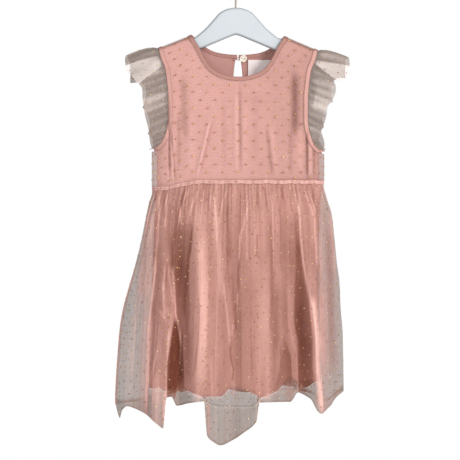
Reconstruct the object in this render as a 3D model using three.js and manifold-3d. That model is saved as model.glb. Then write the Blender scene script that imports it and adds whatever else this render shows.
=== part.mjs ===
// A toddler's party dress on a child's hanger: a sleeveless jersey bodice under dotted tulle, gathered
// flutter sleeves, a seam band at the waist, a jersey skirt and a longer gathered tulle skirt whose hem
// hangs in points.
// Millimetres, +Z up. The front faces -Y. The origin is the inner top of the hook, where a rail bears.

import * as THREE from "three";
import { mergeVertices } from "three/addons/utils/BufferGeometryUtils.js";
import Module from "manifold-3d";

const wasm = await Module();
wasm.setup();

const FRONT = -1;
const BACK = 1;
const LEFT = -1;
const RIGHT = 1;

// Cloth thicknesses, the gaps kept between neighbouring pieces, and the finest detail kept after a cut
const GAP = 0.3;
const WAIST_GAP = 0.45;
const PANEL_GAP = 0.95;
const SLIVER = 0.05;
const JERSEY = 1.2;
const TULLE = 1.0;
const TRIM = 2.8;
const SEAM_BULK = 4.4;

// The dress hangs a little to the right of the hanger's middle
const DRESS_X = 3;

// Shoulders: the cloth folds over the hanger as a rounded ridge
const NECK_POINT_Z = -105;
const NECK_HALF = 69;
const SHOULDER_SLOPE = 0.41;
const SHOULDER_TILT = 0.014;
const RIDGE_DROP = 7;

// Neck: deeper in front than behind, and straighter near the shoulders than an ellipse
const NECK_DROP = { [FRONT]: 61.5, [BACK]: 27 };
const NECK_ROUND_FROM = 0.5;
const NECK_ROUND_OVER = 0.45;
const BAND_WIDTH = 6.5;

// The two layers of the bodice, each with its half width at the side seams and its distance outward
const LINING_LAYER = { half: 122, out: 0, wall: JERSEY };
const TULLE_LAYER = { half: 129.4, out: 1.7, wall: TULLE };
const TRIM_LAYER = { half: 126, out: 0.85, wall: TRIM };

// Depths of the bodice from the hanger's plane, by distance below the shoulder line
const BODICE_SECTIONS = [
  { below: 0, edge: 7.5, mid: 7.5 },
  { below: 12, edge: 8.5, mid: 9 },
  { below: 40, edge: 11, mid: 14 },
  { below: 80, edge: 13, mid: 19 },
  { below: 120, edge: 9, mid: 22 },
  { below: 138, edge: 2.5, mid: 23.5 },
  { below: 146, edge: 0, mid: 24 },
  { below: 225, edge: 0, mid: 25 },
];

// The armhole's edge, from the shoulder (0) to the side seam (1), as distance below the neck point
const ARMHOLE = [
  { along: 0, drop: 19, x: 120 },
  { along: 0.11, drop: 37, x: 115 },
  { along: 0.2, drop: 51, x: 109.5 },
  { along: 0.29, drop: 66, x: 107 },
  { along: 0.47, drop: 96, x: 104.5 },
  { along: 0.64, drop: 126, x: 104.5 },
  { along: 0.73, drop: 141, x: 106.5 },
  { along: 0.81, drop: 153, x: 110.5 },
  { along: 0.88, drop: 162.5, x: 115.5 },
  { along: 0.94, drop: 167.5, x: 121 },
  { along: 1, drop: 169, x: 126 },
];
const ARMHOLE_BAND = 6.5;

// The waist seam: its middle, and how far its left end hangs lower than the rest
const WAIST_Z = -324;
const WAIST_DIP = 9.5;
const WAIST_DIP_FROM = -64;
const WAIST_DIP_TO = -108;
const WAIST_BAND = { half: 127.4, depth: 26.2, height: 6 };

// Keyhole slit at the centre back, from the neck edge down
const KEYHOLE = { top: 0.8, half: 7.6, length: 62, binding: 4.2, thick: 2.2 };

// Button, its thread shank and the loop that goes round the shank
const BUTTON = { x: 8, below: 6, radius: 5.5, thick: 2.2, shank: 1.2, stand: 2.4, hole: 0.8, holeAt: 2.1 };
const LOOP = { wire: 0.65, around: 2.4, root: -7 };

// Blank neck label inside the back
const LABEL = { from: 15, width: 36, height: 30, below: 1.2, wall: 1 };

// Gathered sleeve ruffles, from the shoulder (0) to the underarm (1)
const RUFFLE_SECTIONS = [
  { at: 0, left: 49, right: 49, outward: 0.93, forward: 0, down: 0.3 },
  { at: 0.16, left: 50, right: 50, outward: 0.9, forward: 0.22, down: 0.32 },
  { at: 0.4, left: 42, right: 37, outward: 0.82, forward: 0.36, down: 0.3 },
  { at: 0.65, left: 39, right: 29, outward: 0.78, forward: 0.34, down: 0.34 },
  { at: 0.85, left: 26, right: 18, outward: 0.86, forward: 0.36, down: 0.14 },
  { at: 1, left: 7, right: 7, outward: 0.9, forward: 0.2, down: -0.35 },
];
const RUFFLE = { waves: 8, swell: 6.5, sway: 3.5, gap: 0.9, end: 0.95, phase: { [LEFT]: 0.6, [RIGHT]: 2.2 } };

// Levels below the waist seam where a skirt's columns are even, and where its hem table's x is measured
const EVEN_BELOW = 150;
const HEM_BELOW = 313;

// Jersey skirt: its outline and depth by distance below the waist seam, and the height of its hem
const LINING_SECTIONS = [
  { below: 0, left: 125.6, right: 125.6, depth: 24.6 },
  { below: 40, left: 126, right: 122.5, depth: 28.5 },
  { below: 150, left: 129, right: 121, depth: 32.5 },
  { below: 313, left: 133, right: 122, depth: 34.5 },
];
const LINING_SKIRT = { waves: 6, swell: 3.5, phase: { [FRONT]: 0.4, [BACK]: 2.1 } };
const LINING_HEM = {
  [FRONT]: [
    { x: -133, z: -632 },
    { x: -80, z: -634 },
    { x: -52, z: -643 },
    { x: -26, z: -643 },
    { x: -9, z: -629 },
    { x: 12, z: -634 },
    { x: 37, z: -644 },
    { x: 56, z: -636 },
    { x: 78, z: -617 },
    { x: 98, z: -624 },
    { x: 122, z: -622 },
  ],
  [BACK]: [
    { x: -133, z: -632 },
    { x: -90, z: -640 },
    { x: -40, z: -631 },
    { x: 10, z: -641 },
    { x: 60, z: -630 },
    { x: 100, z: -633 },
    { x: 122, z: -622 },
  ],
};

// Tulle skirt: its outline and depth by distance below the waist seam
const TULLE_SECTIONS = [
  { below: 0, left: 128.6, right: 128.6, depth: 27.4 },
  { below: 20, left: 134, right: 133, depth: 33 },
  { below: 44, left: 139, right: 140.5, depth: 38 },
  { below: 78, left: 146, right: 144.5, depth: 42 },
  { below: 114, left: 155, right: 148, depth: 45.5 },
  { below: 150, left: 165.5, right: 152.5, depth: 48 },
  { below: 186, left: 174.5, right: 154, depth: 50 },
  { below: 222, left: 179, right: 157, depth: 51.5 },
  { below: 322, left: 184.5, right: 158.5, depth: 53 },
  { below: 400, left: 184.5, right: 158.5, depth: 53 },
];

// Largest folds of the tulle, from their x at the waist to their x at the hem: out from the body is positive
const TULLE_FOLDS = {
  [FRONT]: [
    { top: -124, hem: -166, out: 5, width: 14 },
    { top: -106, hem: -120, out: 9, width: 13 },
    { top: -87, hem: -87, out: -10, width: 9.5 },
    { top: -52, hem: -58, out: 9, width: 15 },
    { top: -32, hem: -26, out: 5, width: 11 },
    { top: 2, hem: -8, out: -4, width: 8 },
    { top: 35, hem: 33, out: 8, width: 13 },
    { top: 62, hem: 70, out: -4, width: 9 },
    { top: 80, hem: 97, out: -10, width: 9 },
    { top: 91, hem: 119, out: 8, width: 8 },
    { top: 122, hem: 146, out: -3, width: 9 },
  ],
  [BACK]: [
    { top: -98, hem: -140, out: 6, width: 18 },
    { top: -76, hem: -108, out: -8, width: 14 },
    { top: -52, hem: -74, out: 8, width: 18 },
    { top: -27, hem: -38, out: -5, width: 13 },
    { top: -3, hem: -4, out: 8, width: 17 },
    { top: 24, hem: 32, out: -6, width: 13 },
    { top: 53, hem: 66, out: 8, width: 16 },
    { top: 80, hem: 100, out: -7, width: 12 },
    { top: 106, hem: 128, out: 6, width: 12 },
  ],
};
const GATHERS = { count: 40, swell: 1.5, hemSwell: 1 };

// Height of the tulle's hem, which hangs in points
const TULLE_HEM = {
  [FRONT]: [
    { x: -183.5, z: -656.5 },
    { x: -179, z: -667 },
    { x: -174.5, z: -676 },
    { x: -170, z: -664 },
    { x: -162.5, z: -658 },
    { x: -153.5, z: -661 },
    { x: -135.5, z: -670 },
    { x: -117.5, z: -683.5 },
    { x: -110, z: -689.5 },
    { x: -105.5, z: -644.5 },
    { x: -99.5, z: -643 },
    { x: -92, z: -656.5 },
    { x: -72.5, z: -652 },
    { x: -50, z: -649 },
    { x: -45.5, z: -700 },
    { x: -36.5, z: -709 },
    { x: -26, z: -714 },
    { x: -9.5, z: -707.5 },
    { x: 8.5, z: -695.5 },
    { x: 26.5, z: -679 },
    { x: 31, z: -650.5 },
    { x: 77.5, z: -650.5 },
    { x: 89.5, z: -637 },
    { x: 107.5, z: -646 },
    { x: 116.5, z: -665.5 },
    { x: 121, z: -668.5 },
    { x: 137.5, z: -658 },
    { x: 152.5, z: -641.5 },
    { x: 158.5, z: -637 },
  ],
  [BACK]: [
    { x: -183.5, z: -656.5 },
    { x: -150, z: -654 },
    { x: -110, z: -644 },
    { x: -90, z: -642 },
    { x: -60, z: -646 },
    { x: -38, z: -662 },
    { x: 0, z: -665 },
    { x: 22, z: -664 },
    { x: 40, z: -647 },
    { x: 80, z: -638 },
    { x: 107, z: -641 },
    { x: 130, z: -654 },
    { x: 158.5, z: -637 },
  ],
};

// Hanger: the upper edge of its arch, its arms and its hook
const HANGER_ARCH = [
  { x: 0, z: -62 },
  { x: 13, z: -64 },
  { x: 24, z: -69.5 },
  { x: 35, z: -81.5 },
  { x: 46, z: -93.5 },
  { x: 56, z: -102 },
  { x: 64, z: -107.6 },
];
const HANGER = {
  thick: 10,
  bevel: 4,
  under: -103,
  underSlope: 0.42,
  reach: 112,
  tip: 11,
  clear: 1.45,
};
const HOOK = { wire: 1.7, inside: 19, socket: 2.1, deep: 16, sides: 8 };

const clamp = (t) => Math.min(Math.max(t, 0), 1);
const smooth = (t) => clamp(t) ** 2 * (3 - 2 * clamp(t));
const mix = (a, b, t) => a + (b - a) * t;
const steps = (from, to, count) => Array.from({ length: count + 1 }, (_, i) => mix(from, to, i / count));

// One column of a table at a place along it, as a smooth curve that doesn't overshoot its rows
function follow(rows, key, column, at) {
  const last = rows.length - 1;
  if (at <= rows[0][key]) return rows[0][column];
  if (at >= rows[last][key]) return rows[last][column];
  let i = 0;
  while (rows[i + 1][key] < at) i += 1;
  const rise = (k) => (rows[k + 1][column] - rows[k][column]) / (rows[k + 1][key] - rows[k][key]);
  const slope = (k) => {
    if (k === 0 || k === last || rise(k - 1) * rise(k) <= 0) return 0;
    return (2 * rise(k - 1) * rise(k)) / (rise(k - 1) + rise(k));
  };
  const span = rows[i + 1][key] - rows[i][key];
  const t = (at - rows[i][key]) / span;
  const a = rows[i][column];
  const b = rows[i + 1][column];
  return mix(a, b, t * t * (3 - 2 * t)) + span * t * (1 - t) * ((1 - t) * slope(i) - t * slope(i + 1));
}

// A wall of even thickness whose middle surface is point(column, row). It closes on itself if looped.
function wall(point, columns, rows, thick, looped = false) {
  const middle = columns.map((c) => rows.map((r) => point(c, r)));
  const across = columns.length;
  const along = rows.length;
  const at = (i, j) => {
    const k = looped ? (i + across) % across : Math.min(Math.max(i, 0), across - 1);
    return middle[k][Math.min(Math.max(j, 0), along - 1)];
  };
  const places = [];
  for (const side of [0.5, -0.5])
    for (let i = 0; i < across; i += 1)
      for (let j = 0; j < along; j += 1) {
        const du = at(i + 1, j).clone().sub(at(i - 1, j));
        const dv = at(i, j + 1).clone().sub(at(i, j - 1));
        const normal = du.cross(dv).normalize();
        places.push(...at(i, j).clone().addScaledVector(normal, side * thick).toArray());
      }
  const index = [];
  const id = (layer, i, j) => layer * across * along + (i % across) * along + j;
  const quad = (a, b, c, d) => index.push(a, b, c, a, c, d);
  const spans = looped ? across : across - 1;
  for (let i = 0; i < spans; i += 1) {
    for (let j = 0; j < along - 1; j += 1) {
      quad(id(0, i, j), id(0, i + 1, j), id(0, i + 1, j + 1), id(0, i, j + 1));
      quad(id(1, i, j), id(1, i, j + 1), id(1, i + 1, j + 1), id(1, i + 1, j));
    }
    quad(id(1, i, 0), id(1, i + 1, 0), id(0, i + 1, 0), id(0, i, 0));
    quad(id(0, i, along - 1), id(0, i + 1, along - 1), id(1, i + 1, along - 1), id(1, i, along - 1));
  }
  if (!looped)
    for (let j = 0; j < along - 1; j += 1) {
      quad(id(0, 0, j), id(0, 0, j + 1), id(1, 0, j + 1), id(1, 0, j));
      quad(id(1, spans, j), id(1, spans, j + 1), id(0, spans, j + 1), id(0, spans, j));
    }
  const geometry = new THREE.BufferGeometry();
  geometry.setAttribute("position", new THREE.Float32BufferAttribute(places, 3));
  geometry.setIndex(index);
  return facingOut(geometry);
}

// The same closed mesh with its faces pointing out
function facingOut(geometry) {
  const p = geometry.getAttribute("position");
  const index = geometry.getIndex().array;
  const corner = (k) => new THREE.Vector3().fromBufferAttribute(p, index[k]);
  let volume = 0;
  for (let k = 0; k < index.length; k += 3) volume += corner(k).dot(corner(k + 1).cross(corner(k + 2)));
  if (volume > 0) return geometry;
  for (let k = 0; k < index.length; k += 3) [index[k], index[k + 1]] = [index[k + 1], index[k]];
  return geometry;
}

function toSolid(geometry) {
  const bare = geometry.clone();
  bare.deleteAttribute("normal");
  bare.deleteAttribute("uv");
  const merged = mergeVertices(bare, 1e-4);
  const vertProperties = new Float32Array(merged.getAttribute("position").array);
  const triVerts = new Uint32Array(merged.getIndex().array);
  return new wasm.Manifold(new wasm.Mesh({ numProp: 3, vertProperties, triVerts }));
}

function toGeometry(solid) {
  const mesh = solid.getMesh();
  const geometry = new THREE.BufferGeometry();
  geometry.setAttribute("position", new THREE.Float32BufferAttribute(Array.from(mesh.vertProperties), 3));
  geometry.setIndex(Array.from(mesh.triVerts));
  return geometry;
}

// The geometry without what the tools cover, kept to its own side of the plane between front and back
function cut(geometry, tools, side = 0) {
  const left = tools.reduce((solid, tool) => solid.subtract(toSolid(tool)), toSolid(geometry));
  const kept = side ? left.trimByPlane([0, side, 0], GAP / 2) : left;
  return toGeometry(kept.simplify(SLIVER));
}

// A prism along Y, from an outline of [x, z] points
function prism(outline, from, to) {
  const shape = new THREE.Shape(outline.map(([x, z]) => new THREE.Vector2(x, z)));
  const geometry = new THREE.ExtrudeGeometry(shape, { depth: to - from, bevelEnabled: false });
  return geometry.rotateX(Math.PI / 2).translate(0, to, 0);
}

const shoulderLine = (x) =>
  NECK_POINT_Z - SHOULDER_SLOPE * Math.max(Math.abs(x) - NECK_HALF, 0) - SHOULDER_TILT * x;

const waistLine = (x) => WAIST_Z - WAIST_DIP * clamp((WAIST_DIP_FROM - x) / (WAIST_DIP_FROM - WAIST_DIP_TO));

// Turns from seam to seam, with one where the waist line starts and ends its slope
function turnsAcross(count, half) {
  const slope = [WAIST_DIP_FROM, WAIST_DIP_TO].map((x) => Math.asin(x / half));
  const isClear = (turn) => slope.every((s) => Math.abs(turn - s) > 0.06);
  const even = steps(-Math.PI / 2, Math.PI / 2, count).filter(isClear);
  return [...even, ...slope].sort((a, b) => a - b);
}

// Depth of a bodice layer at x and z, never less than half the gap between front and back
function bodiceDepth(layer, x, z) {
  const below = Math.max(shoulderLine(x) + layer.out - z, 0);
  const ridge = RIDGE_DROP + layer.out;
  const over = below < ridge ? Math.sqrt(1 - (1 - below / ridge) ** 2) : 1;
  const cutEdge = follow(BODICE_SECTIONS, "below", "edge", below);
  const edge = cutEdge + layer.out * clamp(cutEdge / RIDGE_DROP);
  const mid = follow(BODICE_SECTIONS, "below", "mid", below) + layer.out;
  const side = Math.sqrt(Math.max(1 - (x / layer.half) ** 2, 0));
  return Math.max(over * (edge + (mid - edge) * side), GAP / 2);
}

const onBodice = (layer, side, x, z) => new THREE.Vector3(x, side * bodiceDepth(layer, x, z), z);

// The neck curve, moved outward from the opening's edge: turn runs from the left (0) to the right (PI)
function neckPlace(side, turn, outward) {
  const round = smooth((Math.sin(turn) - NECK_ROUND_FROM) / NECK_ROUND_OVER);
  const drop = Math.sin(turn) * mix(Math.sin(turn), 1, round);
  const x = -(NECK_HALF + outward) * Math.cos(turn);
  return [x, shoulderLine(x) - NECK_DROP[side] * drop - outward * Math.sin(turn)];
}

function neckPrism(side) {
  const outline = steps(0, Math.PI, 22).map((turn) => neckPlace(side, turn, BAND_WIDTH + PANEL_GAP));
  const last = outline[outline.length - 1];
  outline.push([last[0], NECK_POINT_Z + 20], [outline[0][0], NECK_POINT_Z + 20]);
  return side === FRONT ? prism(outline, -50, 0.1) : prism(outline, -0.1, 50);
}

// The armhole curve, moved inward from its edge towards the body: at runs from shoulder to underarm
function armholePlace(hand, at, inward) {
  const edge = (t) => [follow(ARMHOLE, "along", "x", t), -follow(ARMHOLE, "along", "drop", t)];
  const [x, z] = edge(at);
  const [xa, za] = edge(Math.max(at - 0.02, 0));
  const [xb, zb] = edge(Math.min(at + 0.02, 1));
  const long = Math.hypot(xb - xa, zb - za);
  const moved = x + (inward * (zb - za)) / long;
  return [hand * moved, NECK_POINT_Z + z - (inward * (xb - xa)) / long - SHOULDER_TILT * hand * moved];
}

// Steps along the armhole curve, closer where it turns under the arm
const armholeSteps = (count) => steps(0, 1, count).map((t) => mix(t, 1 - (1 - t) ** 2, 0.6));

function armholePrism(hand) {
  const outline = armholeSteps(18).map((at) => armholePlace(hand, at, ARMHOLE_BAND + PANEL_GAP));
  const last = outline[outline.length - 1];
  outline.push([hand * 160, last[1]], [hand * 160, NECK_POINT_Z + 20], [outline[0][0], NECK_POINT_Z + 20]);
  if (hand === LEFT) outline.reverse();
  return prism(outline, -60, 60);
}

// A teardrop round the slit, wider by outward
function keyholePlace(turn, outward) {
  const down = (1 - Math.cos(turn)) / 2;
  const wide = KEYHOLE.top + (KEYHOLE.half - KEYHOLE.top) * Math.sin(Math.min(turn, Math.PI * 0.75) / 1.5);
  const round = Math.sqrt(clamp((1 - down) / 0.22));
  const x = wide * Math.min(round, 1);
  const top = NECK_POINT_Z - NECK_DROP[BACK];
  const z = top - KEYHOLE.length * down;
  return [x + outward * Math.min(round, 1), z - outward * (1 - Math.min(round, 1))];
}

function keyholePrism(outward) {
  const right = steps(0, Math.PI, 12).map((turn) => keyholePlace(turn, outward));
  const left = right.slice(0, -1).reverse().map(([x, z]) => [-x, z]);
  const above = NECK_POINT_Z;
  return prism([[right[0][0], above], ...right, ...left, [-right[0][0], above]], 0.5, 50);
}

// A bodice panel of one layer, from shoulder to waist, with neck, armholes and slit cut out
function bodicePanel(layer, side, turns, rows) {
  const bottom = (x) => waistLine(x) + WAIST_BAND.height / 2 + WAIST_GAP;
  const point = (turn, share) => {
    const x = layer.half * Math.sin(turn);
    const top = shoulderLine(x) + layer.out;
    const long = top - bottom(x);
    return onBodice(layer, side, x, top - long * share);
  };
  const panel = wall(point, turns, rows, layer.wall);
  const tools = [neckPrism(side), armholePrism(LEFT), armholePrism(RIGHT)];
  if (side === BACK) tools.push(keyholePrism(KEYHOLE.binding + PANEL_GAP));
  return cut(panel, tools, side);
}

// Shares of the bodice's height where its panels have a row, closer over the shoulder ridge
const RIDGE_ROWS = [0, 0.003, 0.01, 0.021, 0.036, 0.07];
const bodiceRows = (count) => [...RIDGE_ROWS, ...steps(0.12, 1, count)];

// The binding of the neck, in one strip from one side of the slit round the front to the other
function neckband() {
  const slit = Math.asin((KEYHOLE.top + GAP) / NECK_HALF);
  const near = [0, 0.012, 0.035, 0.07, 0.12];
  const quarter = [...near, ...steps(0.2, Math.PI / 2 - slit, 7)];
  const half = [...near, ...steps(0.2, Math.PI - 0.2, 16), ...near.map((t) => Math.PI - t).reverse()];
  const path = [
    ...quarter.slice(1).reverse().map((turn) => [BACK, turn]),
    ...half.map((turn) => [FRONT, turn]),
    ...quarter.slice(1).map((turn) => [BACK, Math.PI - turn]),
  ];
  const point = ([side, turn], outward) => {
    const [x, z] = neckPlace(side, turn, outward);
    const ridge = turn === 0 || turn === Math.PI;
    const top = shoulderLine(x) + TRIM_LAYER.out;
    const lifted = ridge ? top : z + TRIM_LAYER.out * (1 - smooth((top - z) / RIDGE_DROP));
    const place = onBodice(TRIM_LAYER, side, x, lifted);
    if (ridge) place.y = 0;
    return place;
  };
  return wall(point, path, [0, BAND_WIDTH / 2, BAND_WIDTH], TRIM);
}

// The binding of an armhole, in one ring: down the front to the side seam and up the back.
// With some spare all round, it is the shape that cuts the ruffle beside it.
function armholeBand(hand, spare = 0) {
  const down = [0, 0.004, 0.012, 0.03, 0.06, ...armholeSteps(15).filter((at) => at > 0.09)];
  const path = [...down.map((at) => [FRONT, at]), ...down.slice(1, -1).reverse().map((at) => [BACK, at])];
  const point = ([side, at], inward) => {
    const [x, z] = armholePlace(hand, at, inward);
    const top = shoulderLine(x) + TRIM_LAYER.out;
    const near = 1 - smooth(at / 0.06);
    const place = onBodice(TRIM_LAYER, side, x, Math.min(mix(z + TRIM_LAYER.out, top - at * 6, near), top));
    if (at === 0 || at === 1) place.y = 0;
    return place;
  };
  return wall(point, path, [-spare, ARMHOLE_BAND / 2, ARMHOLE_BAND + spare], TRIM + 2 * spare, true);
}

// The narrow binding round the slit
function keyholeBinding() {
  const turns = steps(0.1, Math.PI, 14);
  const right = turns.map((turn) => [RIGHT, turn]);
  const left = turns.slice(0, -1).reverse().map((turn) => [LEFT, turn]);
  const point = ([hand, turn], outward) => {
    const [x, z] = keyholePlace(turn, outward);
    const under = NECK_POINT_Z - NECK_DROP[BACK] - BAND_WIDTH - GAP;
    return onBodice(TRIM_LAYER, BACK, hand * x, Math.min(z, under - turn * 2));
  };
  return wall(point, [...right, ...left], [0, KEYHOLE.binding], KEYHOLE.thick);
}

// A gathered ruffle on one armhole: along runs from the front underarm (-1) to the back one (1)
function ruffle(hand) {
  const seam = (along) => {
    const at = Math.abs(along);
    const [x, z] = armholePlace(hand, RUFFLE.end * at, -RUFFLE.gap);
    const side = along < 0 ? FRONT : BACK;
    const place = onBodice(TRIM_LAYER, side, x, Math.min(z, shoulderLine(x)));
    place.y *= smooth(at / 0.05);
    return place;
  };
  const point = (along, out) => {
    const at = Math.abs(along);
    const side = along < 0 ? FRONT : BACK;
    const row = (column) => follow(RUFFLE_SECTIONS, "at", column, at);
    const forward = side * row("forward") * smooth(at / 0.1);
    const away = new THREE.Vector3(hand * row("outward"), forward, -row("down")).normalize();
    const angle = Math.PI * RUFFLE.waves * along + RUFFLE.phase[hand];
    const swell = RUFFLE.swell * out ** 0.8 * smooth((1 - at) / 0.2);
    const place = seam(along).addScaledVector(away, row(hand === LEFT ? "left" : "right") * out);
    place.z += swell * Math.sin(angle) * mix(1, 0.55, at);
    place.y += side * swell * 0.6 * (1 + Math.sin(angle)) * smooth(at / 0.3);
    place.x += hand * RUFFLE.sway * out * Math.cos(angle);
    return place;
  };
  const flat = wall(point, steps(-1, 1, 48), [0, 0.3, 0.65, 1], TULLE);
  return cut(flat, [armholeBand(hand, GAP)]);
}

// The ring that covers the seam of bodice and skirts
function waistBand() {
  const point = (turn, up) => {
    const x = WAIST_BAND.half * Math.sin(turn);
    return new THREE.Vector3(x, -WAIST_BAND.depth * Math.cos(turn), waistLine(x) + up);
  };
  const front = turnsAcross(24, WAIST_BAND.half);
  const turns = [...front, ...front.slice(1, -1).reverse().map((turn) => Math.PI - turn)];
  return wall(point, turns, [-WAIST_BAND.height / 2, WAIST_BAND.height / 2], SEAM_BULK, true);
}

// A place on a skirt's section: turn runs from the left seam (-PI/2) to the right one (PI/2)
function skirtPlace(sections, side, turn, below, outward) {
  const reach = follow(sections, "below", turn < 0 ? "left" : "right", below);
  const depth = follow(sections, "below", "depth", below);
  const x = reach * Math.sin(turn);
  const y = depth * Math.cos(turn);
  const normal = new THREE.Vector2(Math.sin(turn) / reach, Math.cos(turn) / depth).normalize();
  const shown = new THREE.Vector2(x, y).addScaledVector(normal, outward);
  return new THREE.Vector3(shown.x, side * Math.max(shown.y, GAP / 2), 0);
}

// Turns that cut a skirt's section into equal lengths of cloth
function evenTurns(sections, count) {
  const fine = steps(-Math.PI / 2, Math.PI / 2, 400);
  const places = fine.map((turn) => skirtPlace(sections, BACK, turn, EVEN_BELOW, 0));
  const long = [0];
  for (let i = 1; i < fine.length; i += 1) long.push(long[i - 1] + places[i].distanceTo(places[i - 1]));
  return steps(0, long[long.length - 1], count).map((at) => {
    const i = Math.max(long.findIndex((l) => l >= at - 1e-9), 1);
    return mix(fine[i - 1], fine[i], clamp((at - long[i - 1]) / (long[i] - long[i - 1])));
  });
}

// Where the cloth at one turn reaches the hem, as x on the section near the hem
const hemPlace = (sections, turn) =>
  follow(sections, "below", turn < 0 ? "left" : "right", HEM_BELOW) * Math.sin(turn);

const skirtTop = (x) => waistLine(x) - WAIST_BAND.height / 2 - WAIST_GAP;

function liningSkirt(side) {
  const point = (turn, share) => {
    const ends = Math.cos(turn) ** 0.5;
    const angle = LINING_SKIRT.waves * 2 * turn + LINING_SKIRT.phase[side];
    const hemX = hemPlace(LINING_SECTIONS, turn);
    const below = (skirtTop(hemX) - follow(LINING_HEM[side], "x", "z", hemX)) * share;
    const outward = LINING_SKIRT.swell * share * Math.sin(angle) * ends;
    const place = skirtPlace(LINING_SECTIONS, side, turn, below, outward);
    place.z = skirtTop(place.x) - below;
    return place;
  };
  const panel = wall(point, evenTurns(LINING_SECTIONS, 30), [0, 0.08, 0.28, 0.62, 1], JERSEY);
  return cut(panel, [], side);
}

// How far the tulle stands out from its plain section: fine gathers at the waist, large folds at the hem
function tulleOutward(side, turn, along, share, x) {
  const ends = smooth(Math.cos(turn) * 2.5);
  const away = (f) => (x - mix(f.top, f.hem, share)) / f.width;
  const fold = TULLE_FOLDS[side].reduce((sum, f) => sum + f.out * Math.exp(-(away(f) ** 2)), 0);
  const swell = mix(GATHERS.swell, GATHERS.hemSwell, share);
  const gather = swell * (1 + Math.cos(2 * Math.PI * GATHERS.count * along));
  return ends * (gather + fold * smooth(share * 1.15) ** 0.6);
}

function tulleSkirt(side) {
  const turns = evenTurns(TULLE_SECTIONS, GATHERS.count * 2);
  const columns = turns.map((turn, i) => [turn, i / 2 / GATHERS.count]);
  const point = ([turn, along], share) => {
    const hemX = hemPlace(TULLE_SECTIONS, turn);
    const below = (skirtTop(hemX) - follow(TULLE_HEM[side], "x", "z", hemX)) * share;
    const plain = skirtPlace(TULLE_SECTIONS, side, turn, below, 0);
    const outward = tulleOutward(side, turn, along, share, plain.x);
    const place = skirtPlace(TULLE_SECTIONS, side, turn, below, outward);
    place.z = skirtTop(place.x) - below;
    return place;
  };
  const panel = wall(point, columns, [0, 0.04, 0.11, 0.24, 0.46, 0.73, 1], TULLE);
  return cut(panel, [], side);
}

// The place on the back neckband where the button is sewn, on its inner face
function buttonSeat() {
  const z = NECK_POINT_Z - NECK_DROP[BACK] - BUTTON.below;
  const depth = bodiceDepth(TRIM_LAYER, BUTTON.x, z) - TRIM / 2 - 2 * GAP;
  return new THREE.Vector3(BUTTON.x, depth, z);
}

// A sew-through button on its thread shank, turned about an axis along Y
function button() {
  const rim = BUTTON.radius;
  const outer = BUTTON.stand + BUTTON.thick;
  const profile = [
    [0, 0],
    [BUTTON.shank, 0],
    [BUTTON.shank, BUTTON.stand],
    [rim - 0.6, BUTTON.stand],
    [rim, BUTTON.stand + 0.6],
    [rim, outer - 0.4],
    [rim - 0.5, outer],
    [rim - 1.3, outer],
    [rim - 1.8, outer - 0.6],
    [0, outer - 0.6],
  ].map(([r, h]) => new THREE.Vector2(r, h));
  const disc = new THREE.LatheGeometry(profile, 18);
  const hole = (x) => new THREE.CylinderGeometry(BUTTON.hole, BUTTON.hole, 6, 6).translate(x, outer, 0);
  const pierced = cut(disc, [hole(BUTTON.holeAt), hole(-BUTTON.holeAt)]);
  const seat = buttonSeat();
  return pierced.rotateZ(Math.PI).translate(seat.x, seat.y, seat.z);
}

// A round cord or wire along a curve, with flat ends
function tube(points, radius, sides, count) {
  const round = steps(0, Math.PI * 2, sides).slice(0, -1);
  const ring = round.map((a) => new THREE.Vector2(radius * Math.cos(a), radius * Math.sin(a)));
  const section = new THREE.Shape(ring);
  const curve = new THREE.CatmullRomCurve3(points, false, "centripetal");
  return new THREE.ExtrudeGeometry(section, { extrudePath: curve, steps: count, bevelEnabled: false });
}

// The loop from the other side of the slit, round the button's shank
function buttonLoop() {
  const seat = buttonSeat();
  const y = seat.y - LOOP.wire - GAP / 2;
  const turns = steps(-Math.PI * 0.6, Math.PI * 0.6, 8);
  const round = (turn) => [seat.x + LOOP.around * Math.cos(turn), seat.z + LOOP.around * Math.sin(turn)];
  const ends = [-1, 1].map((up) => [LOOP.root, seat.z + up * 1.1]);
  const path = [ends[0], ...turns.map(round), ends[1]].map(([x, z]) => new THREE.Vector3(x, y, z));
  return tube(path, LOOP.wire, 6, 18);
}

// A blank label under the neckband, inside the back
function neckLabel() {
  const top = (x) => {
    const turn = Math.acos(-x / (NECK_HALF + BAND_WIDTH));
    return neckPlace(BACK, turn, BAND_WIDTH)[1] - LABEL.below;
  };
  const point = (x, down) => {
    const z = top(LABEL.from + LABEL.width / 2) - down;
    const place = onBodice(LINING_LAYER, BACK, x, z);
    place.y -= (JERSEY + LABEL.wall) / 2 + 2 * GAP;
    return place;
  };
  const across = steps(LABEL.from, LABEL.from + LABEL.width, 4);
  return wall(point, across, steps(3, 3 + LABEL.height, 3), LABEL.wall);
}

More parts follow.
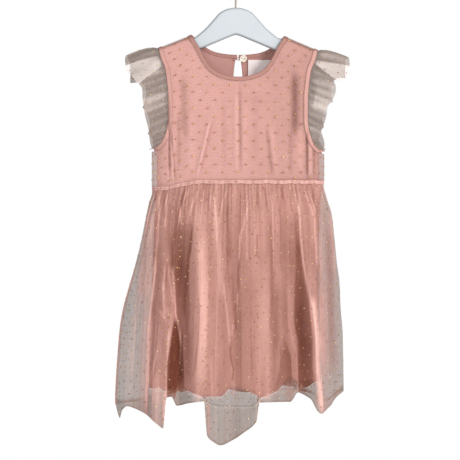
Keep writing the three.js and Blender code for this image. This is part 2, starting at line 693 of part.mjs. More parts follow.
// The flat body of the hanger, with the hook's socket in the top of its arch
function hangerBody() {
  const armTop = (x) => Math.min(shoulderLine(-x - DRESS_X), shoulderLine(x - DRESS_X)) - HANGER.clear;
  const armUnder = (x) => HANGER.under - HANGER.underSlope * x;
  const lean = Math.atan(SHOULDER_SLOPE);
  const lastX = HANGER.reach - HANGER.tip * (1 - Math.sin(lean));
  const tipX = lastX - HANGER.tip * Math.sin(lean);
  const tipZ = armTop(lastX) - HANGER.tip * Math.cos(lean);
  const turns = steps(Math.PI / 2 - lean, -Math.PI * 0.58, 7);
  const tip = turns.map((turn) => [tipX + HANGER.tip * Math.cos(turn), tipZ + HANGER.tip * Math.sin(turn)]);
  const arch = HANGER_ARCH.map((row) => [row.x, row.z]);
  const arm = steps(74, lastX, 3).slice(0, -1).map((x) => [x, armTop(x)]);
  const under = steps(86, 0, 4).map((x) => [x, armUnder(x)]);
  const right = [...arch, ...arm, ...tip, ...under];
  const left = right.slice(1, -1).reverse().map(([x, z]) => [-x, z]);
  const shape = new THREE.Shape([...right, ...left].map(([x, z]) => new THREE.Vector2(x, z)));
  const flat = HANGER.thick - 2 * HANGER.bevel;
  const body = new THREE.ExtrudeGeometry(shape, {
    depth: flat,
    bevelThickness: HANGER.bevel,
    bevelSize: HANGER.bevel,
    bevelOffset: -HANGER.bevel,
    bevelSegments: 2,
  });
  body.rotateX(Math.PI / 2).translate(0, flat / 2, 0);
  const socket = new THREE.CylinderGeometry(HOOK.socket, HOOK.socket, HOOK.deep * 2, 12);
  socket.rotateX(Math.PI / 2).translate(0, 0, HANGER_ARCH[0].z);
  return cut(body, [socket]);
}

// The wire hook: an open round top over a straight shank that ends in the hanger's socket
function hangerHook() {
  const radius = HOOK.inside + HOOK.wire;
  const turns = steps(Math.PI * 1.14, -Math.PI * 0.24, 12);
  const top = turns.map((turn) => [radius * Math.cos(turn), radius * Math.sin(turn) - HOOK.inside]);
  const foot = HANGER_ARCH[0].z - HOOK.deep + GAP;
  const path = [...top, [4.5, -41], [0.4, -47], [0, -52], [0, -60], [0, foot]];
  return tube(path.map(([x, z]) => new THREE.Vector3(x, 0, z)), HOOK.wire, HOOK.sides, 34);
}

const material = (color, roughness, metalness = 0) =>
  new THREE.MeshStandardMaterial({ color, roughness, metalness });
const JERSEY_ROSE = material(0xdba69d, 0.9);
const TULLE_ROSE = material(0xb98d80, 0.8);
const TRIM_ROSE = material(0xd39c92, 0.9);
const WHITE_HANGER = material(0xe2e6e9, 0.45);
const HOOK_STEEL = material(0xb9b6ae, 0.3, 1);
const BUTTON_IVORY = material(0xe9e2d2, 0.35);
const LABEL_WHITE = material(0xf1ecea, 0.8);

const dress = new THREE.Group();

function add(name, geometry, finish) {
  const mesh = new THREE.Mesh(geometry, finish);
  mesh.name = name;
  dress.add(mesh);
}

const addCloth = (name, geometry, finish) => add(name, geometry.translate(DRESS_X, 0, 0), finish);

const liningTurns = turnsAcross(14, LINING_LAYER.half);
const tulleTurns = turnsAcross(16, TULLE_LAYER.half);
addCloth("bodice_lining_front", bodicePanel(LINING_LAYER, FRONT, liningTurns, bodiceRows(7)), JERSEY_ROSE);
addCloth("bodice_lining_back", bodicePanel(LINING_LAYER, BACK, liningTurns, bodiceRows(7)), JERSEY_ROSE);
addCloth("bodice_tulle_front", bodicePanel(TULLE_LAYER, FRONT, tulleTurns, bodiceRows(8)), TULLE_ROSE);
addCloth("bodice_tulle_back", bodicePanel(TULLE_LAYER, BACK, tulleTurns, bodiceRows(8)), TULLE_ROSE);
addCloth("neckband", neckband(), TRIM_ROSE);
addCloth("armhole_band_left", armholeBand(LEFT), TRIM_ROSE);
addCloth("armhole_band_right", armholeBand(RIGHT), TRIM_ROSE);
addCloth("keyhole_binding", keyholeBinding(), TRIM_ROSE);
addCloth("sleeve_ruffle_left", ruffle(LEFT), TULLE_ROSE);
addCloth("sleeve_ruffle_right", ruffle(RIGHT), TULLE_ROSE);
addCloth("waist_band", waistBand(), TRIM_ROSE);
addCloth("skirt_lining_front", liningSkirt(FRONT), JERSEY_ROSE);
addCloth("skirt_lining_back", liningSkirt(BACK), JERSEY_ROSE);
addCloth("skirt_tulle_front", tulleSkirt(FRONT), TULLE_ROSE);
addCloth("skirt_tulle_back", tulleSkirt(BACK), TULLE_ROSE);
addCloth("button", button(), BUTTON_IVORY);
addCloth("button_loop", buttonLoop(), TRIM_ROSE);
addCloth("neck_label", neckLabel(), LABEL_WHITE);
add("hanger_body", hangerBody(), WHITE_HANGER);
add("hanger_hook", hangerHook(), HOOK_STEEL);

export default dress;
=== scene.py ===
"""A toddler's party dress on a child's hanger: jersey under dotted tulle, with gathered ruffles and skirts.

Lengths are millimetres until a mesh is made. The front faces -Y, and the shapes follow the part's sections.
"""

import math
import random

import bpy
import numpy as np
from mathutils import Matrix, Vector
from mathutils.geometry import delaunay_2d_cdt

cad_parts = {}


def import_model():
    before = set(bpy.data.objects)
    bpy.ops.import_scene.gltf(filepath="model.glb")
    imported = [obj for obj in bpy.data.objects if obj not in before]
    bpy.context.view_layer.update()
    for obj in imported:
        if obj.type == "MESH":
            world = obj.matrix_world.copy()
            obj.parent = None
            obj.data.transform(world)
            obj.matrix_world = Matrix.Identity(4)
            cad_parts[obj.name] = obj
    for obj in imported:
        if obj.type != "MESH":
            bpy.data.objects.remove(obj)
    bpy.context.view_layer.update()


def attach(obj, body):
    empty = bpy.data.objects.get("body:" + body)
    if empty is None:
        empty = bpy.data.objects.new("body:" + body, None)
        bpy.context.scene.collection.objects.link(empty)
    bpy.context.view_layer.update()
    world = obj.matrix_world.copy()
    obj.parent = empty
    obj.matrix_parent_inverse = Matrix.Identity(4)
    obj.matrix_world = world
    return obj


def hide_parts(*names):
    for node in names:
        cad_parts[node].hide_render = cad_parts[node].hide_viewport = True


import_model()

MM = 0.001
FRONT, BACK = -1, 1
LEFT, RIGHT = -1, 1
HAND_NAMES = {LEFT: "left", RIGHT: "right"}
SIDE_NAMES = {FRONT: "front", BACK: "back"}
DRESS_X = 3  # how far to the right of the hanger's middle the dress hangs
dice = random.Random(11)


def table(names, *rows):
    """Rows of numbers as named columns."""
    return dict(zip(names.split(), np.array(rows, float).T))


# Shoulders, neck and the two layers of the bodice, as in the part's source
NECK_POINT_Z = -105
NECK_HALF = 69
SHOULDER_SLOPE = 0.41
SHOULDER_TILT = 0.014
RIDGE_DROP = 7
NECK_DROP = {FRONT: 61.5, BACK: 27}
NECK_ROUND_FROM, NECK_ROUND_OVER = 0.5, 0.45
BAND_WIDTH = 6.5
LINING = {"half": 122, "out": 0}
TULLE = {"half": 129.4, "out": 1.7}
TRIM = {"half": 126, "out": 0.85}
TRIM_THICK = 2.6
TUCK = 1.0  # how far a panel reaches under its binding
SEAM_SHARE = 0.99999  # share of a bodice layer's half width at which its side seam lies
LEAST_DEPTH = 0.02

BODICE_SECTIONS = table(
    "below edge mid",
    (0, 7.5, 7.5), (12, 8.5, 9), (40, 11, 14), (80, 13, 19),
    (120, 9, 22), (138, 2.5, 23.5), (146, 0, 24), (225, 0, 25),
)
ARMHOLE = table(
    "along drop x",
    (0, 19, 120), (0.11, 37, 115), (0.2, 51, 109.5), (0.29, 66, 107), (0.47, 96, 104.5), (0.64, 126, 104.5),
    (0.73, 141, 106.5), (0.81, 153, 110.5), (0.88, 162.5, 115.5), (0.94, 167.5, 121), (1, 169, 126),
)
ARMHOLE_BAND = 6.5

WAIST_Z, WAIST_DIP, WAIST_DIP_FROM, WAIST_DIP_TO = -324, 9.5, -64, -108
WAIST_BAND = {"half": 127.4, "depth": 26.2, "height": 6, "thick": 4.0}
WAIST_GAP = 0.45
KEYHOLE = {"top": 0.8, "half": 7.6, "length": 62, "binding": 4.2, "thick": 2.1}

# Tones run from -1 (deep) over 0 (the cloth's own colour) to 1 (light); most tones here are painted shade
# and painted light
RIDGE_SHADE = 6  # how far the shade of the shoulder seam reaches down
# Painted shade and light of the bodice: deeper toward the right as seen from the front, deeper in the
# troughs of its creases and lighter on their folds, and painted shade under the shoulder seam (ridge),
# inside the back neck (inside) and above the waist seam (sewn)
BODICE_TONE = {
    "own": -0.02, "across": 0.0022, "crease": 0.26, "least": -0.8, "most": 0.5,
    "past": 0.15, "ridge": 1.1, "inside": 0.5, "sewn": 0.3,
}
BODICE_COVER = {"over": 0.4, "crease": 0.03, "past": 0.18}

# Soft drag folds of the bodice, each from x, z to x2, z2, with how far it stands out and its width
BODICE_FOLDS = {
    FRONT: table(
        "x z x2 z2 out width",
        (-104, -190, -103, -326, -2.4, 1.7), (-101, -240, -94, -330, -2.2, 1.6),
        (-98, -245, -98, -322, 1.4, 2.2), (-90, -205, -90, -318, -1.1, 3.5),
        (-84, -155, -80, -270, -1.7, 6), (-72, -215, -72, -318, 0.8, 7), (-41, -225, -63, -322, 1.9, 2.8),
        (-37, -225, -60, -322, -1.7, 1.7), (-23, -190, -22, -318, -0.6, 4), (-4, -175, -3, -320, 1.3, 3.0),
        (2, -168, 3, -320, -1.7, 1.7), (9, -200, 9, -318, 0.5, 4), (24, -180, 26, -300, -0.4, 4),
        (41, -235, 51, -320, -1.3, 2.4), (47, -235, 57, -318, 0.7, 3.5), (84, -150, 84, -262, -2.4, 5.5),
        (78, -240, 78, -318, -0.9, 3.0), (92, -235, 92, -318, 0.8, 5), (102.5, -238, 103, -326, -2.4, 1.6),
        (113, -250, 114, -324, -1.5, 1.8), (107, -245, 108, -322, 1.2, 3),
    ),
    BACK: table(
        "x z x2 z2 out width",
        (-98, -210, -95, -331, -2.2, 3.5), (-76, -190, -70, -320, 1.6, 7), (-52, -210, -58, -320, -1.4, 5),
        (-34, -215, -30, -318, 1.2, 6), (-12, -225, -10, -318, -1.2, 4), (16, -215, 12, -318, 1.3, 6),
        (38, -210, 44, -318, -1.5, 4.5), (62, -200, 60, -318, 1.2, 6), (84, -185, 82, -290, -1.8, 6),
        (102, -220, 102, -320, -2.2, 3.5), (112, -240, 112, -322, 1.3, 5),
    ),
}


def smooth(t):
    t = np.clip(t, 0, 1)
    return t * t * (3 - 2 * t)


def mix(a, b, t):
    return a + (b - a) * t


def follow(rows, key, column, at):
    """One column of a table at a place along it, as a smooth curve that doesn't overshoot its rows."""
    xs, ys = rows[key], rows[column]
    rise = np.diff(ys) / np.diff(xs)
    slope = np.zeros(len(xs))
    turn = rise[:-1] * rise[1:]
    total = np.where(turn > 0, rise[:-1] + rise[1:], 1)
    slope[1:-1] = np.where(turn > 0, 2 * turn / total, 0)
    i = np.clip(np.searchsorted(xs, at) - 1, 0, len(xs) - 2)
    span = xs[i + 1] - xs[i]
    t = np.clip((at - xs[i]) / span, 0, 1)
    return mix(ys[i], ys[i + 1], smooth(t)) + span * t * (1 - t) * ((1 - t) * slope[i] - t * slope[i + 1])


def folded(rows, x, z, soft=0.25, column="out"):
    """The sum of a table's folds at x, z, of how far they stand out or of another column."""
    total = np.zeros(np.broadcast(x, z).shape)
    for x1, z1, x2, z2, out, width in zip(*(rows[k] for k in ("x", "z", "x2", "z2", column, "width"))):
        t = (z1 - z) / (z1 - z2)
        fade = smooth(t / soft) * smooth((1 - t) / soft)
        total = total + out * fade * np.exp(-(((x - mix(x1, x2, np.clip(t, 0, 1))) / width) ** 2))
    return total


def stack(x, y, z):
    return np.stack(np.broadcast_arrays(x, y, z), axis=-1).astype(float)


def shoulder_line(x):
    return NECK_POINT_Z - SHOULDER_SLOPE * np.maximum(np.abs(x) - NECK_HALF, 0) - SHOULDER_TILT * x


def waist_line(x):
    return WAIST_Z - WAIST_DIP * np.clip((WAIST_DIP_FROM - x) / (WAIST_DIP_FROM - WAIST_DIP_TO), 0, 1)


def bodice_depth(layer, side, x, z):
    out, ridge = layer["out"], RIDGE_DROP + layer["out"]
    below = np.maximum(shoulder_line(x) + out - z, 0)
    over = np.sqrt(np.clip(1 - (1 - np.minimum(below / ridge, 1)) ** 2, 0, 1))
    cut_edge = follow(BODICE_SECTIONS, "below", "edge", below)
    edge = cut_edge + out * np.clip(cut_edge / RIDGE_DROP, 0, 1)
    middle = follow(BODICE_SECTIONS, "below", "mid", below) + out
    across = np.sqrt(np.clip(1 - (x / layer["half"]) ** 2, 0, 1))
    depth = over * (edge + (middle - edge) * across)
    return np.maximum(depth + folded(BODICE_FOLDS[side], x, z) * smooth(depth / 14), LEAST_DEPTH)


def on_bodice(layer, side, x, z):
    return stack(x, side * bodice_depth(layer, side, x, z), z)


def neck_place(side, turn, outward):
    """The neck's curve, moved outward from its edge, from the left shoulder (0) to the right (pi)."""
    rounding = smooth((np.sin(turn) - NECK_ROUND_FROM) / NECK_ROUND_OVER)
    drop = np.sin(turn) * mix(np.sin(turn), 1, rounding)
    x = -(NECK_HALF + outward) * np.cos(turn)
    return x, shoulder_line(x) - NECK_DROP[side] * drop - outward * np.sin(turn)


def armhole_place(hand, at, inward):
    """The armhole curve, moved inward from its edge, from the shoulder (0) to the underarm (1)."""
    def edge(t):
        return follow(ARMHOLE, "along", "x", t), -follow(ARMHOLE, "along", "drop", t)

    x, z = edge(at)
    xa, za = edge(np.maximum(at - 0.02, 0))
    xb, zb = edge(np.minimum(at + 0.02, 1))
    long = np.hypot(xb - xa, zb - za)
    moved = x + inward * (zb - za) / long
    return hand * moved, NECK_POINT_Z + z - inward * (xb - xa) / long - SHOULDER_TILT * hand * moved


def keyhole_place(turn, outward):
    """A teardrop round the slit at the centre back, wider by outward, from its top (0) to its foot (pi)."""
    down = (1 - np.cos(turn)) / 2
    wide = mix(KEYHOLE["top"], KEYHOLE["half"], np.sin(np.minimum(turn, math.pi * 0.75) / 1.5))
    rounding = np.minimum(np.sqrt(np.clip((1 - down) / 0.22, 0, 1)), 1)
    top = NECK_POINT_Z - NECK_DROP[BACK]
    return (wide + outward) * rounding, top - KEYHOLE["length"] * down - outward * (1 - rounding)


def mesh_object(name, places, faces, smooth_faces=True):
    mesh = bpy.data.meshes.new(name)
    mesh.from_pydata((places * MM).tolist(), [], faces)
    mesh.polygons.foreach_set("use_smooth", [smooth_faces] * len(mesh.polygons))
    mesh.update()
    obj = bpy.data.objects.new(name, mesh)
    bpy.context.collection.objects.link(obj)
    return obj


def cloth_object(name, places, faces):
    """An object of the dress, which hangs a little to the right of the hanger's middle."""
    return mesh_object(name, places.reshape(-1, 3) + (DRESS_X, 0, 0), faces)


def grid_faces(across, along, looped=False):
    i = np.arange(across if looped else across - 1)[:, None]
    j = np.arange(along - 1)[None, :]
    near, far = i * along + j, ((i + 1) % across) * along + j
    return np.stack([near, far, far + 1, near + 1], axis=-1).reshape(-1, 4).tolist()


def grid_normals(middle, looped=False):
    if looped:
        du = np.roll(middle, -1, 0) - np.roll(middle, 1, 0)
    else:
        du = np.gradient(middle, axis=0)
    normal = np.cross(du, np.gradient(middle, axis=1))
    return normal / np.maximum(np.linalg.norm(normal, axis=-1, keepdims=True), 1e-9)


def shell(name, middle, thick, looped=False):
    """A closed wall round a grid of middle places. thick is one number or a number for each place."""
    across, along = middle.shape[:2]
    push = grid_normals(middle, looped) * (np.broadcast_to(thick, middle.shape[:2])[..., None] / 2)
    places = np.concatenate([(middle + push).reshape(-1, 3), (middle - push).reshape(-1, 3)])
    size = across * along
    faces = grid_faces(across, along, looped)
    faces += [[size + k for k in reversed(f)] for f in faces]
    spans = across if looped else across - 1
    for i in range(spans):
        a, b = i * along, ((i + 1) % across) * along
        c, d = a + along - 1, b + along - 1
        faces += [[size + a, size + b, b, a], [c, d, size + d, size + c]]
    if not looped:
        for j in range(along - 1):
            a, b = j, spans * along + j
            faces += [[a, a + 1, size + a + 1, size + a], [size + b, size + b + 1, b + 1, b]]
    return cloth_object(name, places, faces)


# Shares of a binding's width, and its thickness and painted shade there: full in the middle, rolled at its
# edges, which get painted shade, with a faint painted highlight beside the middle
CROWN = np.array([0, 0.03, 0.1, 0.22, 0.38, 0.5, 0.62, 0.78, 0.9, 0.97, 1])
CROWN_THICK = np.array([0.25, 0.6, 0.86, 0.97, 1, 0.9, 1, 0.97, 0.86, 0.6, 0.25])
CROWN_LIGHT_AND_SHADE = np.array([-0.9, -0.8, -0.4, 0, 0.05, -0.1, 0.05, 0, -0.4, -0.8, -0.9])
STITCHED = 8  # the place of CROWN at which the neck's topstitch runs
STITCH_LIFT = 1.32  # how far it lies from the binding's middle


def shade_trim(obj, middle, tone):
    """Painted shade along a binding's rolled edges and over the shoulder, on both of its faces. tone adds
    painted shade (below 0) or painted light (above 0) to the binding.
    """
    x, z = middle[..., 0], middle[..., 2]
    ridge = smooth(1 - (shoulder_line(x) + TRIM["out"] - z) / RIDGE_SHADE)
    attribute(obj, "tone", np.tile((tone + CROWN_LIGHT_AND_SHADE[None, :] - 0.9 * ridge).ravel(), 2))


def puckers(count, amount):
    """Uneven small puckers along a sewn strip."""
    s = np.linspace(0, 1, count)
    wave = np.sin(s * 2 * math.pi * count / 5.3) + 0.7 * np.sin(s * 2 * math.pi * count / 8.1 + 1)
    return 1 + amount * wave[:, None]


def attribute(obj, name, values):
    layer = obj.data.attributes.new(name, "FLOAT", "POINT")
    layer.data.foreach_set("value", np.ascontiguousarray(values, dtype=np.float32).ravel())


def bodice_outline(layer, side):
    """The cut edge of a bodice panel, clockwise from the left end of the neck, as x and z."""
    turns = np.linspace(0, math.pi, 130)
    neck_x, neck_z = neck_place(side, turns, BAND_WIDTH - TUCK)
    neck = np.stack([neck_x, neck_z], axis=1)
    if side == BACK:
        slit_x, slit_z = keyhole_place(np.linspace(0.05, math.pi, 60), KEYHOLE["binding"] - TUCK)
        slit = np.stack([slit_x, slit_z], axis=1)[slit_z < neck_z.min() - 0.4]
        wide = slit[0, 0]
        neck = np.concatenate([neck[neck_x < -wide], slit * (-1, 1), slit[::-1][1:], neck[neck_x > wide]])
    seam_x = layer["half"] * SEAM_SHARE

    def waist(x):
        return waist_line(x) + WAIST_BAND["height"] / 2 - TUCK

    def side_edge(hand, neck_end):
        """The shoulder, the armhole and the side seam of one hand, from the neck down to the waist."""
        arm_x, arm_z = armhole_place(hand, np.linspace(0, 1, 90), ARMHOLE_BAND - TUCK)
        arm_z = np.minimum(arm_z, shoulder_line(arm_x) + layer["out"])
        over_x = np.linspace(neck_end, arm_x[0], 26)
        over = np.stack([over_x, shoulder_line(over_x) + layer["out"]], axis=1)
        arm = np.stack([arm_x, arm_z], axis=1)[hand * arm_x < seam_x - 0.3]
        seam_z = np.linspace(arm[-1, 1] - 0.4, waist(hand * seam_x), 26)
        seam = np.stack([np.full(26, hand * seam_x), seam_z], axis=1)
        return np.concatenate([over, arm[1:], seam])

    foot_x = layer["half"] * np.sin(np.linspace(math.pi / 2, -math.pi / 2, 130))[1:-1]
    foot = np.stack([foot_x, waist(foot_x)], axis=1)
    return np.concatenate([neck, side_edge(RIGHT, neck[-1, 0]), foot, side_edge(LEFT, neck[0, 0])[::-1]])


def unroll(layer, x, z):
    """x and z on a bodice layer as lengths of cloth, evened out over the shoulder and at the side seams."""
    ridge = RIDGE_DROP + layer["out"]
    below = np.maximum(shoulder_line(x) + layer["out"] - z, 0)
    over = ridge * np.arccos(np.clip(1 - below / ridge, -1, 1))
    down = np.where(below < ridge, over, ridge * math.pi / 2 + below - ridge)
    return layer["half"] * np.arcsin(np.clip(x / layer["half"], -1, 1)), down


def roll_up(layer, u, down):
    ridge = RIDGE_DROP + layer["out"]
    x = layer["half"] * np.sin(np.clip(u / layer["half"], -math.pi / 2, math.pi / 2))
    arc = ridge * math.pi / 2
    below = np.where(down < arc, ridge * (1 - np.cos(np.minimum(down, arc) / ridge)), down - arc + ridge)
    return x, shoulder_line(x) + layer["out"] - below


def within(points, loop, margin):
    """Which points lie inside a closed loop and further than a margin from it."""
    inside = np.zeros(len(points), bool)
    near = np.full(len(points), 1e9)
    px, py = points.T
    for (ax, ay), (bx, by) in zip(loop, np.roll(loop, -1, 0)):
        crosses = (ay > py) != (by > py)
        if ay != by:
            inside ^= crosses & (px < (bx - ax) * (py - ay) / (by - ay) + ax)
        dx, dy = bx - ax, by - ay
        t = np.clip(((px - ax) * dx + (py - ay) * dy) / max(dx * dx + dy * dy, 1e-9), 0, 1)
        near = np.minimum(near, np.hypot(px - ax - t * dx, py - ay - t * dy))
    return inside & (near > margin)


def spread(loop, spacing):
    """Even triangles inside a closed loop of flat points."""
    low, high = loop.min(0), loop.max(0)
    rows = []
    for k, v in enumerate(np.arange(low[1], high[1], spacing * 0.87)):
        u = np.arange(low[0] + (k % 2) * spacing / 2, high[0], spacing)
        rows.append(np.stack([u, np.full(len(u), v)], axis=1))
    points = np.concatenate(rows)
    points = points[within(points, loop, spacing * 0.45)]
    everything = np.concatenate([loop, points])
    corners = [Vector(p) for p in everything]
    verts, _, faces, *_ = delaunay_2d_cdt(corners, [], [list(range(len(loop)))], 1, 1e-4)
    return np.array([tuple(v) for v in verts]), [list(f) for f in faces]


def bodice_panel(name, layer, side, spacing=2.6):
    """One layer of the bodice's front or back, cut along its outline and laid on its shape."""
    outline = bodice_outline(layer, side)
    loop = np.stack(unroll(layer, outline[:, 0], outline[:, 1]), axis=1)
    far = np.linalg.norm(loop - np.roll(loop, 1, 0), axis=1) > 0.15
    flat, faces = spread(loop[far], spacing)
    x, z = roll_up(layer, flat[:, 0], flat[:, 1])
    obj = cloth_object(name, on_bodice(layer, side, x, z), faces)
    crease = folded(BODICE_FOLDS[side], x, z)
    past = smooth((np.abs(x) - LINING["half"] + 3) / 4)
    ridge = smooth(1 - (shoulder_line(x) + layer["out"] - z) / RIDGE_SHADE)
    inside = smooth((z + 215) / 60) * (layer is LINING) * (side == BACK)
    sewn = smooth(1 - (z - waist_line(x) - WAIST_BAND["height"] / 2) / 5)
    # The tone is painted shade and light: of the creases, deeper toward the right, and painted shade under
    # the shoulder seam (ridge), inside the back neck (inside) and just above the waist seam (sewn)
    weight, cover = BODICE_TONE, BODICE_COVER
    tone = np.clip(crease * weight["crease"], weight["least"], weight["most"]) + weight["own"]
    tone = tone - weight["across"] * x - weight["past"] * past - weight["ridge"] * ridge
    tone = tone - weight["inside"] * inside - weight["sewn"] * sewn
    attribute(obj, "tone", tone)
    attribute(obj, "bare", past)
    attribute(obj, "cover", cover["over"] + cover["crease"] * np.abs(crease) + cover["past"] * past)
    return obj


def neckband():
    """The neck's binding, from the slit round the front and back to it, with the grid of its middle."""
    slit = math.asin((KEYHOLE["top"] + 0.3) / NECK_HALF)
    quarter = np.linspace(0, math.pi / 2 - slit, 60)
    path = [(BACK, t) for t in quarter[:0:-1]] + [(FRONT, t) for t in np.linspace(0, math.pi, 190)]
    path += [(BACK, math.pi - t) for t in quarter[1:]]
    rows = []
    for side, turn in path:
        outward = CROWN * BAND_WIDTH
        x, z = neck_place(side, turn, outward)
        top = shoulder_line(x) + TRIM["out"]
        lifted = z + TRIM["out"] * (1 - smooth((top - z) / RIDGE_DROP))
        rows.append(on_bodice(TRIM, side, x, lifted))
    middle = np.stack(rows)
    obj = shell("neck_binding", middle, TRIM_THICK * CROWN_THICK[None, :] * puckers(len(path), 0.05))
    # Painted shade over the whole neck binding
    shade_trim(obj, middle, -0.55)
    return middle, obj


def armhole_binding(hand, name):
    """One armhole's binding, down its front and up its back."""
    down = np.concatenate([[0, 0.004, 0.012, 0.03], np.linspace(0.05, 1, 110)])
    path = [(FRONT, at) for at in down] + [(BACK, at) for at in down[1:-1][::-1]]
    rows = []
    for side, at in path:
        x, z = armhole_place(hand, at, CROWN * ARMHOLE_BAND)
        top = shoulder_line(x) + TRIM["out"]
        near = 1 - smooth(at / 0.06)
        place = on_bodice(TRIM, side, x, np.minimum(mix(z + TRIM["out"], top - at * 6, near), top))
        if at in (0, 1):
            place[:, 1] = 0
        rows.append(place)
    middle = np.stack(rows)
    obj = shell(name, middle, TRIM_THICK * CROWN_THICK[None, :] * puckers(len(path), 0.08), looped=True)
    shade_trim(obj, middle, 0.0)
    return obj


def keyhole_binding():
    """The slit's binding, down one side and up the other."""
    turns = np.linspace(0.1, math.pi, 70)
    path = [(RIGHT, t) for t in turns] + [(LEFT, t) for t in turns[-2::-1]]
    under = NECK_POINT_Z - NECK_DROP[BACK] - BAND_WIDTH - 0.3
    rows = []
    for hand, turn in path:
        x, z = keyhole_place(turn, CROWN * KEYHOLE["binding"])
        rows.append(on_bodice(TRIM, BACK, hand * x, np.minimum(z, under - turn * 2)))
    middle = np.stack(rows)
    obj = shell("keyhole_edge", middle, KEYHOLE["thick"] * CROWN_THICK[None, :])
    # A lighter painted shade over the whole slit binding
    shade_trim(obj, middle, -0.3)
    return obj


# Ruffles from the shoulder (0) to the underarm (1): reach, direction, and share of the waves at the front
RUFFLE_SECTIONS = table(
    "at left right outward forward down left_wave right_wave",
    (0, 49, 49, 0.93, 0, 0.3, 1, 1), (0.16, 56, 50, 0.9, 0.22, 0.32, 0.8, 1),
    (0.25, 48, 41, 0.87, 0.29, 0.31, 0.35, 0.6), (0.31, 41, 43, 0.85, 0.32, 0.3, 0.25, 0.45),
    (0.4, 44, 41, 0.82, 0.36, 0.3, 0.15, 0.4), (0.5, 42, 35, 0.8, 0.35, 0.32, 0.12, 0.35),
    (0.65, 37, 27, 0.78, 0.34, 0.34, 0.12, 0.4), (0.85, 25, 21, 0.86, 0.36, 0.35, 0.12, 0.35),
    (1, 11, 11, 0.9, 0.2, 0.3, 0.15, 0.3),
)
RUFFLE = {
    "waves": 8, "swell": 6.5, "sway": 3.5, "under": 0.8, "end": 0.95, "arch": 4,
    "gathers": 26, "gather": 0.9, "phase": {LEFT: 0.6, RIGHT: 2.2},
}
SINGLE_LAYER = {LEFT: (0.055, 0.275), RIGHT: (0.075, 0.205)}  # stretch of each front that isn't doubled
# Tones of a ruffle: painted light and shade on its gathers and waves, painted shade at its seam, and a
# lighter single layer
RUFFLE_TONE = {"gather": 0.22, "wave": 0.16, "single": (0.8, 1.8), "seam": 0.3}
RUFFLE_COVER = {"own": 0.8, "single": (0.12, 0.4), "rim": 0.1, "low": {LEFT: 0.0, RIGHT: 0.06}}


def ruffle_places(hand, along, out):
    """A gathered ruffle on one armhole, from the front underarm (-1) to the back one (1)."""
    at = np.abs(along)
    side = np.where(along < 0, FRONT, BACK)
    x, z = armhole_place(hand, RUFFLE["end"] * at, RUFFLE["under"])
    z = np.minimum(z, shoulder_line(x))
    depth = np.where(along < 0, bodice_depth(TRIM, FRONT, x, z), bodice_depth(TRIM, BACK, x, z))
    seam = stack(x, side * depth * smooth(at / 0.05), z)

    def row(column):
        return follow(RUFFLE_SECTIONS, "at", column, at)

    away = stack(hand * row("outward"), side * row("forward") * smooth(at / 0.1), -row("down"))
    away /= np.linalg.norm(away, axis=-1, keepdims=True)
    phase = RUFFLE["phase"][hand]
    angle = math.pi * RUFFLE["waves"] * along + phase
    wave = np.where(along < 0, row(HAND_NAMES[hand] + "_wave"), 1)
    swell = RUFFLE["swell"] * wave * out ** 0.8 * smooth((1 - at) / 0.2)
    place = seam + away * (row(HAND_NAMES[hand]) * out)[..., None]
    fine = math.pi * RUFFLE["gathers"] * (along + 0.012 * np.sin(along * 23 + phase))
    small = RUFFLE["gather"] * np.sin(fine) * smooth(out / 0.08) * mix(1, 0.45, out)
    small = small * smooth((1 - at) / 0.1)
    arch = RUFFLE["arch"] * np.sin(math.pi * out ** 0.8) * (1 - smooth(at / 0.14))
    place[..., 2] += arch + swell * np.sin(angle) * mix(1, 0.55, at)
    forward = swell * 0.6 * (1 + np.sin(angle)) * smooth(at / 0.3) + small * smooth(at / 0.15)
    place[..., 1] += side * forward
    place[..., 0] += hand * RUFFLE["sway"] * wave * out * np.cos(angle)
    place[..., 2] += small * (1 - smooth(at / 0.15))
    return place, small, angle


def ruffle(name, hand):
    """One ruffle, with how light, dense and covered its net is at each place: painted light and shade on its
    gathers and waves, and painted shade at its seam.
    """
    along = np.linspace(-1, 1, 361)[:, None]
    out = np.linspace(0.0, 1, 29)[None, :]
    places, small, angle = ruffle_places(hand, along, out)
    obj = cloth_object(name, places, grid_faces(*places.shape[:2]))
    at = np.abs(along)
    wave = np.sin(angle) * smooth(out / 0.3)
    start, end = SINGLE_LAYER[hand]
    start, end = start + 0.02 * (1 - out), end * (0.66 + 0.34 * out)
    single = smooth((-along - start) / 0.01) * smooth((along + end) / 0.01) * smooth(out / 0.12)
    rim = smooth((np.broadcast_to(out, small.shape) - 0.965) / 0.02)
    low = smooth((at - 0.22) / 0.2)
    foot = smooth((at - 0.5) / 0.2)
    panel = smooth((0.58 - at) / 0.08) * smooth((out - 0.25) / 0.12) * low
    # Painted light and shade on the gathers and waves, painted shade at the seam; the single layer is
    # lighter
    tone = RUFFLE_TONE["gather"] * small + RUFFLE_TONE["wave"] * wave * smooth((1 - at) / 0.2)
    tone = tone + mix(*RUFFLE_TONE["single"], out) * single
    tone = tone - RUFFLE_TONE["seam"] * (1 - smooth(out / 0.22))
    # Lighter toward the underarm; the right ruffle has a lighter panel, the left one a deeper foot
    tone = tone + (0.1 * low + 0.4 * panel if hand == RIGHT else 0.12 * low - 0.22 * foot)
    attribute(obj, "tone", tone)
    attribute(obj, "dense", 0.5 * rim)
    cover = RUFFLE_COVER["own"] - mix(*RUFFLE_COVER["single"], out) * single
    attribute(obj, "cover", cover + RUFFLE_COVER["rim"] * rim - RUFFLE_COVER["low"][hand] * low)
    return places, obj


